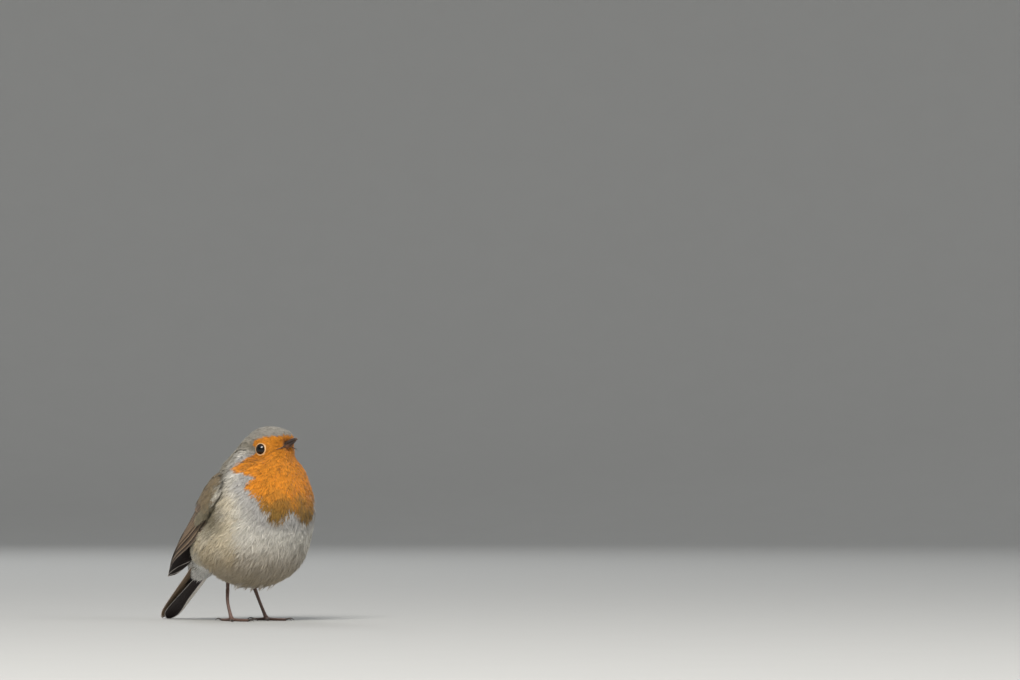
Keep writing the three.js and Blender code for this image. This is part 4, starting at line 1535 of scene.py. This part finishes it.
def bill_half(upper):
    """Points, faces and worn places of the bill's upper or lower half."""
    origin = BILL_TIP - BILL_AHEAD * BILL_LENGTH + BILL_UP * HOOK
    side = unit(np.cross(BILL_AHEAD, BILL_UP))
    sign = 1 if upper else -1
    long = BILL_LENGTH if upper else BILL_LENGTH - OVERHANG
    down = (1 - (1 - np.linspace(0, 1, BILL_ROWS)) ** 1.5)[:, None]
    wide = evened(by_table(down[:, 0], HALF_WIDTHS))[:, None] * BILL_WIDTH
    tall = by_table(down[:, 0], UPPER_HEIGHTS if upper else LOWER_HEIGHTS)
    tall = evened(tall)[:, None] * BILL_DEPTH
    turn = np.linspace(-np.pi / 2, 1.5 * np.pi, BILL_COLUMNS, endpoint=False)
    x, z = np.cos(turn), np.sin(turn)

    # a narrow crest outside, and a palate that rises inside
    crest = np.where(z > 0, z ** 0.85, 0.0)
    pinch = 1 - 0.22 * np.maximum(z, 0) * (1 if upper else 0.6)
    body_x = wide * x * pinch
    body_z = tall * crest * (1 if upper else 0.86)
    body_z = body_z + np.where(z < 0, 0.45 * tall * (-z) * 0.6, 0.0)
    edge = -0.10 * np.exp(-(z / 0.25) ** 2) * np.minimum(tall, 1)
    if upper:
        nostril = np.exp(-((down - 0.40) / 0.035) ** 2 - ((np.abs(x) - 0.80) / 0.16) ** 2) * (z > 0)
        body_x = body_x * (1 - 0.30 * nostril)
        body_z = body_z - 0.25 * nostril
    droop = HOOK * down ** 4 if upper else 0.12 * down ** 3
    every = np.ones(BILL_COLUMNS)
    along = down * long * every
    height = sign * (BILL_GAP + body_z + edge) - droop
    points = (origin + along[..., None] * BILL_AHEAD + body_x[..., None] * side
              + height[..., None] * BILL_UP)

    ridge = smooth(0.86, 1.0, z) * smooth(0.35, 0.75, down) * (1 if upper else 0.3)
    tip = smooth(0.86, 1.0, down) * every * 0.5
    base = smooth(0.62, 0.40, down) * (0.0 if upper else 0.9) * every
    worn = np.clip(np.maximum.reduce([ridge * 0.8, tip, base]), 0, 1)
    faces = capped(BILL_ROWS, BILL_COLUMNS)
    return points.reshape(-1, 3), faces if upper else faces[:, ::-1], worn.ravel()


def tube(line, radius, sides):
    """A closed tube along a line, with a radius at each of its points and an even count of sides."""
    line = np.asarray(line)
    ahead = unit(np.gradient(line, axis=0))
    first = unit(np.cross(ahead, unit(np.array([0.31, 0.11, 0.94]))))
    second = np.cross(ahead, first)
    turn = np.linspace(0, 2 * np.pi, sides, endpoint=False)
    ring = np.cos(turn)[:, None] * first[:, None] + np.sin(turn)[:, None] * second[:, None]
    points = line[:, None] + ring * np.broadcast_to(radius, len(line))[:, None, None]
    faces = grid_faces(len(line), sides, True)
    cap = np.array([(0, k, k + 1, k + 2) for k in range(1, sides - 1, 2)])
    last = (len(line) - 1) * sides
    return points.reshape(-1, 3), np.concatenate([faces, cap[:, ::-1], cap + last])


def gape_fold(side, skin):
    """The line of the mouth's corner, from the bill out over the face, with the face's normals and
    the fold's radius along it."""
    start, corner = gape_line(side)
    share = np.linspace(0, 1, 14)[:, None]
    line = start * (1 - share) + corner * share
    at, normal, depth = skin.nearest(line)
    over = at + normal * (depth * 0.8)[:, None]
    onto = smooth(0.0, 0.25, share)
    return line * (1 - onto) + over * onto, normal, GAPE_RADIUS * (1 - 0.75 * share[:, 0])


def bristle(place, sign, rng):
    """A fine bristle that stands out beside the bill and bends down."""
    aim = unit(BILL_AHEAD * rng.uniform(0.7, 1.0) + HEAD_SIDE * sign * rng.uniform(0.15, 0.4)
               - HEAD_UP * rng.uniform(0.25, 0.75))
    out = np.linspace(0, 1, 9)[:, None]
    line = place + aim * rng.uniform(2.6, 4.6) * out - HEAD_UP * 0.9 * out ** 2
    return tube(line, BRISTLE_RADIUS * (1 - 0.8 * out[:, 0]), 4)


class ROBIN_OT_bill(bpy.types.Operator):
    """Make the bill's two halves, the corner of the mouth and its bristles"""
    bl_idname = "robin.bill"
    bl_label = "Bill"

    def execute(self, context):
        colours, skin = colours_of(context), BODY["skin"]
        horn = horn_material("horn", colours.horn, WORN_HORN)
        warm = horn_material("horn of the lower half", colours.horn, FLESHY_HORN)
        for upper, name, material in ((True, "bill_upper", horn), (False, "bill_lower", warm)):
            points, faces, worn = bill_half(upper)
            made = piece(f"{name}_horn", points, faces, material, "bill", {"worn": worn})
            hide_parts(name)
        rng = np.random.default_rng(71)
        lumps, worn = [], []
        for side, sign in SIDES.items():
            line, normal, radius = gape_fold(side, skin)
            hairs = [bristle(line[k] + normal[k] * 0.1, sign, rng) for k in range(2, 2 + BRISTLES)]
            fold = tube(line, radius, 8)
            lumps += [fold, *hairs]
            worn += [np.full(len(fold[0]), 0.1), *(np.zeros(len(points)) for points, _ in hairs)]
        piece("gape_and_bristles", *joined(lumps), horn, "bill", {"worn": np.concatenate(worn)})
        return {"FINISHED"}


PUPIL = (0.003, 0.003, 0.003)
IRIS = (0.016, 0.008, 0.004)
BALL_ROWS, BALL_COLUMNS = 40, 64

# The lid's cross-section: how far out from the opening, in lid widths, and how far up off the eyeball.
LID_LOOP = [
    (-0.25, -0.5), (-0.02, -0.1), (0.0, 0.10), (0.12, 0.22), (0.35, 0.28), (0.6, 0.26),
    (0.85, 0.14), (1.1, -0.08), (1.5, -0.5), (2.2, -1.3), (1.0, -1.7), (0.2, -1.2),
]


def eye_material():
    """Wet and near black, with a dark brown ring round the pupil."""
    made, tree = new_material("eye")
    away = attribute(tree, "away")
    iris = mixed(tree, ramp(tree, away, 0.46, 0.50), shade(PUPIL), shade(IRIS))
    colour, _ = with_grain(tree, iris, 0.35, 0.6, 0.0)
    finish_material(tree, {"Base Color": colour, "Roughness": 0.05, "Specular IOR Level": 0.5})
    return made


def lid_material(colours):
    """Bare skin, dark along its edge."""
    made, tree = new_material("lid")
    colour = mixed(tree, attribute(tree, "rim"), shade(colours.lid), shade(colours.horn))
    colour, normal = with_grain(tree, colour, 0.22, 0.5, 0.5)
    finish_material(tree, {
        "Base Color": colour, "Normal": normal, "Roughness": 0.55, "Specular IOR Level": 0.4,
    })
    return made


def eye_ring(side):
    """The ways out from an eye's axis, all round it, and the turn of each of them."""
    axis = eye_axis(side)
    up = unit(HEAD_UP - axis * (HEAD_UP @ axis))
    ahead = np.cross(up, axis)
    turn = np.linspace(0, 2 * np.pi, BALL_COLUMNS, endpoint=False)
    return np.cos(turn)[:, None] * ahead + np.sin(turn)[:, None] * up, turn


def eyeball(side):
    """Points and faces of an eyeball that bulges in front, and how far each point is off its axis."""
    ring, _ = eye_ring(side)
    polar = np.linspace(0.02, np.pi - 0.02, BALL_ROWS)
    bulge = EYE_RADIUS + 0.22 * np.exp(-(polar / 0.5) ** 2)
    ray = np.cos(polar)[:, None, None] * eye_axis(side) + np.sin(polar)[:, None, None] * ring
    points = eye_middle(side) + ray * bulge[:, None, None]
    away = np.where(np.cos(polar) > 0, np.sin(polar), 1.0)
    faces = capped(BALL_ROWS, BALL_COLUMNS)[:, ::-1]
    return points.reshape(-1, 3), faces, np.repeat(away, BALL_COLUMNS)


def lids(side):
    """Points, faces and dark edges of the bare lids round an eye."""
    axis, centre = eye_axis(side), eye_middle(side)
    ring, turn = eye_ring(side)
    below = 1 + 0.45 * np.maximum(-np.sin(turn), 0) ** 2
    inner = EYE_OPENING * (1 - 0.05 * np.abs(np.cos(turn)) ** 3)
    seat = math.sqrt(EYE_RADIUS ** 2 - EYE_OPENING ** 2)
    rows = []
    for out, rise in LID_LOOP:
        reach = inner + out * LID_WIDTH * below
        over = np.maximum(EYE_RADIUS ** 2 - np.minimum(reach, EYE_RADIUS - 0.05) ** 2, 0) ** 0.5
        level = np.where(out <= 0.6, over + rise, seat + rise - 0.35 * (out - 0.3))
        crease = 0.03 * np.sin(turn * 23 + out * 5)
        rows.append(centre + axis * (level + crease)[:, None] + ring * reach[:, None])
    points = np.stack(rows).reshape(-1, 3)
    faces = grid_faces(len(rows) + 1, BALL_COLUMNS, True) % len(points)
    return points, faces, np.repeat([float(out < 0.05) for out, _ in LID_LOOP], BALL_COLUMNS)


class ROBIN_OT_eyes(bpy.types.Operator):
    """Make the eyes and the bare lids round them"""
    bl_idname = "robin.eyes"
    bl_label = "Eyes"

    def execute(self, context):
        ball_of, lid_of = eye_material(), lid_material(colours_of(context))
        for side in SIDES:
            points, faces, away = eyeball(side)
            made = piece(f"eyeball_{side}", points, faces, ball_of, "eye", {"away": away})
            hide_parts(f"eye_{side}")
            points, faces, rim = lids(side)
            piece(f"lids_{side}", points, faces, lid_of, "eye", {"rim": rim})
        return {"FINISHED"}


SCALE_HEIGHT = 1.9  # of the plates down the front of the leg
SCUTE_LENGTH = 1.05  # of those on top of the toes
PAD_LENGTH = 2.5  # of the pads beneath them
WORN_SCALES = (0.30, 0.19, 0.16)
WORN_CLAW = (0.16, 0.12, 0.09)
SKIN_SUNK = 0.16  # how far the skin between the scales lies inside the frame's solids
TOES = ("inner", "middle", "outer", "hind")


def leg_material(name, base, light, rough):
    """Fine-grained skin or horn, lighter where it is worn."""
    made, tree = new_material(name)
    colour = mixed(tree, attribute(tree, "worn"), shade(base), shade(light))
    colour, normal = with_grain(tree, colour, 0.45, 0.7, 0.35)
    finish_material(tree, {
        "Base Color": colour, "Normal": normal, "Roughness": rough, "Specular IOR Level": 0.5,
    })
    return made


def scales(points, normals, foot):
    """How far the scales stand out at points on a leg and its toes, and how worn they are."""
    up_leg = smooth(1.6, 3.0, points[:, 2])
    from_foot = np.linalg.norm((points - foot)[:, :2], axis=1)
    ring = (points[:, 2] / SCALE_HEIGHT) % 1
    front = smooth(-0.1, 0.7, -normals[:, 1])
    plates = np.minimum(smooth(0, 0.16, ring), 1 - 0.4 * ring) * front
    step = (from_foot / SCUTE_LENGTH) % 1
    scutes = np.minimum(smooth(0, 0.22, step), 1 - 0.4 * step) * smooth(0.0, 0.6, normals[:, 2])
    pads = 0.5 + 0.5 * np.cos(2 * np.pi * (from_foot / PAD_LENGTH))
    pads = pads * smooth(0.2, -0.6, normals[:, 2])
    rise = up_leg * 0.10 * plates + (1 - up_leg) * (0.08 * scutes + 0.10 * pads)
    return rise, np.clip(0.5 * up_leg * plates + 0.35 * (1 - up_leg) * scutes, 0, 1)


class ROBIN_OT_legs(bpy.types.Operator):
    """Make the scaled legs and toes, and the claws"""
    bl_idname = "robin.legs"
    bl_label = "Legs and claws"

    def execute(self, context):
        colours = colours_of(context)
        scaled = leg_material("scaled skin", colours.leg, WORN_SCALES, 0.42)
        horny = leg_material("claw horn", colours.claw, WORN_CLAW, 0.35)
        for side in SIDES:
            flesh = [f"tarsus_{side}", *(f"toe_{toe}_{side}" for toe in TOES)]
            ankle = ANKLES[side]
            hidden = [ankle + [0, 0, rise] for rise in (-1.5, 2, 9)]
            shin, quads = tube(hidden, [1.0, 1.1, 1.2], 16)
            shin_faces = np.concatenate([quads[:, [0, 1, 2]], quads[:, [0, 2, 3]]])
            whole = joined([solid(*flesh, swell=0.18), (shin, shin_faces)])
            points, faces = remeshed(*whole, 0.17 * MM)
            points = relaxed(points, faces, 12)
            normals = point_normals(points, faces)
            heel = corners(f"tarsus_{side}")
            foot = heel[heel[:, 2] < 1.5].mean(0)
            rise, worn = scales(points, normals, foot)
            points = points + normals * (rise - SKIN_SUNK)[:, None]
            points[:, 2] = np.maximum(points[:, 2], 0.0)
            made = piece(f"leg_{side}_skin", points, faces, scaled, "leg", {"worn": worn})
            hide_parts(*flesh)

            nails = [f"claw_{toe}_{side}" for toe in TOES]
            points, faces = remeshed(*solid(*nails, swell=0.03), 0.1 * MM)
            points = relaxed(points, faces, 6)
            points[:, 2] = np.maximum(points[:, 2], 0.0)
            worn = smooth(0.9, 1.6, points[:, 2]) * 0.5
            made = piece(f"claws_{side}_horn", points, faces, horny, "claw", {"worn": worn})
            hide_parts(*nails)
        return {"FINISHED"}


# ---- stage ----

# Lengths of the stage are in metres.
LENS = 200.0  # in millimetres, as is the sensor
SENSOR = 36.0
DISTANCE = 2.982  # from the bird to the camera
VIEW_TURN = math.radians(-42.8)  # the camera's turn round the bird
CAMERA_HEIGHT = 0.08
AIM_ASIDE = 0.1463
AIM_HEIGHT = 0.1474

FLOOR_FLAT = 3.0  # radius of the flat floor
FLOOR_BEND = 1.5  # radius of the bend that lifts it into a wall
FLOOR_TOP = 4.0
FLOOR_COLUMNS = 96
WORLD_COLOUR = (0.92, 0.95, 1.0, 1)
WORLD_STRENGTH = 0.41
LIGHTS_AIM = (0, 0, 0.05)

# Each lamp's name, place, size, power and colour.
LAMPS = [
    ("key", (-1.5, -1.1, 1.9), 1.3, 64, (1.0, 0.97, 0.93)),
    ("fill", (0.6, -2.2, 0.9), 1.6, 12, (0.94, 0.97, 1.0)),
    ("back", (0.9, 1.9, 1.6), 1.2, 15, (0.96, 0.98, 1.0)),
]


def area_light(name, place, size, power, colour):
    """A round lamp aimed at the bird."""
    light = bpy.data.lights.new(name, "AREA")
    light.shape = "DISK"
    light.size = size
    light.energy = power
    light.color = colour
    made = bpy.data.objects.new(name, light)
    made.location = place
    made.rotation_euler = (Vector(LIGHTS_AIM) - Vector(place)).to_track_quat("-Z", "Y").to_euler()
    bpy.context.scene.collection.objects.link(made)


def floor_sheet():
    """Points and faces of a round floor that bends up into a wall, in metres."""
    angle = np.linspace(0, np.pi / 2, 24)
    flat = np.linspace(0, FLOOR_FLAT, 8)[:-1]
    bend = FLOOR_FLAT + FLOOR_BEND * np.sin(angle)
    radius = np.concatenate([flat, bend, [FLOOR_FLAT + FLOOR_BEND]]) / MM
    rise = np.concatenate([0 * flat, FLOOR_BEND * (1 - np.cos(angle)), [FLOOR_TOP]]) / MM
    turn = np.linspace(0, 2 * np.pi, FLOOR_COLUMNS + 1)[:-1]
    points = np.stack([radius[:, None] * np.sin(turn), radius[:, None] * np.cos(turn),
                       rise[:, None] * np.ones_like(turn)], -1).reshape(-1, 3)
    return points * MM, grid_faces(len(radius), FLOOR_COLUMNS, True)[:, ::-1]


def camera_in(scene):
    """The camera, ahead of the bird to its right."""
    camera = bpy.data.cameras.new("camera")
    camera.lens = LENS
    camera.sensor_width = SENSOR
    camera.clip_end = 30
    right = Vector((math.cos(VIEW_TURN), math.sin(VIEW_TURN), 0))
    towards = Vector((math.sin(VIEW_TURN), -math.cos(VIEW_TURN), 0))
    aim = right * AIM_ASIDE + Vector((0, 0, AIM_HEIGHT))
    place = right * AIM_ASIDE + towards * DISTANCE + Vector((0, 0, CAMERA_HEIGHT))
    made = bpy.data.objects.new("camera", camera)
    made.location = place
    made.rotation_euler = (aim - place).to_track_quat("-Z", "Y").to_euler()
    scene.collection.objects.link(made)
    scene.camera = made


class ROBIN_OT_stage(bpy.types.Operator):
    """Set the floor, the soft light and the camera"""
    bl_idname = "robin.stage"
    bl_label = "Stage"

    def execute(self, context):
        scene, colours = context.scene, colours_of(context)
        scene.view_settings.view_transform = "Standard"
        made, tree = new_material("floor")
        colour, _ = with_grain(tree, shade(colours.floor), 40, 0.03, 0.0)
        finish_material(tree, {"Base Color": colour, "Roughness": 0.9, "Specular IOR Level": 0.1})
        points, faces = floor_sheet()
        mesh = bpy.data.meshes.new("floor")
        mesh.from_pydata(points.tolist(), [], faces.tolist())
        mesh.polygons.foreach_set("use_smooth", np.full(len(mesh.polygons), True))
        mesh.materials.append(made)
        floor = bpy.data.objects.new("floor", mesh)
        scene.collection.objects.link(floor)

        world = bpy.data.worlds.new("studio")
        world.use_nodes = True
        background = world.node_tree.nodes["Background"]
        background.inputs["Color"].default_value = WORLD_COLOUR
        background.inputs["Strength"].default_value = WORLD_STRENGTH
        scene.world = world
        for lamp in LAMPS:
            area_light(*lamp)
        camera_in(scene)
        return {"FINISHED"}


OPERATORS = (
    ROBIN_OT_skin, ROBIN_OT_eyes, ROBIN_OT_coat, ROBIN_OT_wings, ROBIN_OT_shoulders, ROBIN_OT_tail,
    ROBIN_OT_bill, ROBIN_OT_legs, ROBIN_OT_stage,
)


class ROBIN_PT_parts(bpy.types.Panel):
    """The robin's parts, in the order they are made"""
    bl_label = "Robin"
    bl_idname = "ROBIN_PT_parts"
    bl_space_type = "VIEW_3D"
    bl_region_type = "UI"
    bl_category = "Robin"

    def draw(self, context):
        for operator in OPERATORS:
            self.layout.operator(operator.bl_idname)
        for group in (context.scene.robin_sizes, context.scene.robin_colours):
            for key in group.__annotations__:
                self.layout.prop(group, key)


def register():
    """Add the settings, the operators and the panel."""
    for made in (RobinSizes, RobinColours, *OPERATORS, ROBIN_PT_parts):
        bpy.utils.register_class(made)
    bpy.types.Scene.robin_sizes = bpy.props.PointerProperty(type=RobinSizes)
    bpy.types.Scene.robin_colours = bpy.props.PointerProperty(type=RobinColours)


def unregister():
    """Take them out again."""
    del bpy.types.Scene.robin_sizes, bpy.types.Scene.robin_colours
    for made in (ROBIN_PT_parts, *reversed(OPERATORS), RobinColours, RobinSizes):
        bpy.utils.unregister_class(made)


def main():
    """Make every part in order."""
    register()
    bpy.ops.robin.skin()
    bpy.ops.robin.eyes()
    bpy.ops.robin.coat()
    bpy.ops.robin.wings()
    bpy.ops.robin.shoulders()
    bpy.ops.robin.tail()
    bpy.ops.robin.bill()
    bpy.ops.robin.legs()
    bpy.ops.robin.stage()


if __name__ == "__main__":
    main()
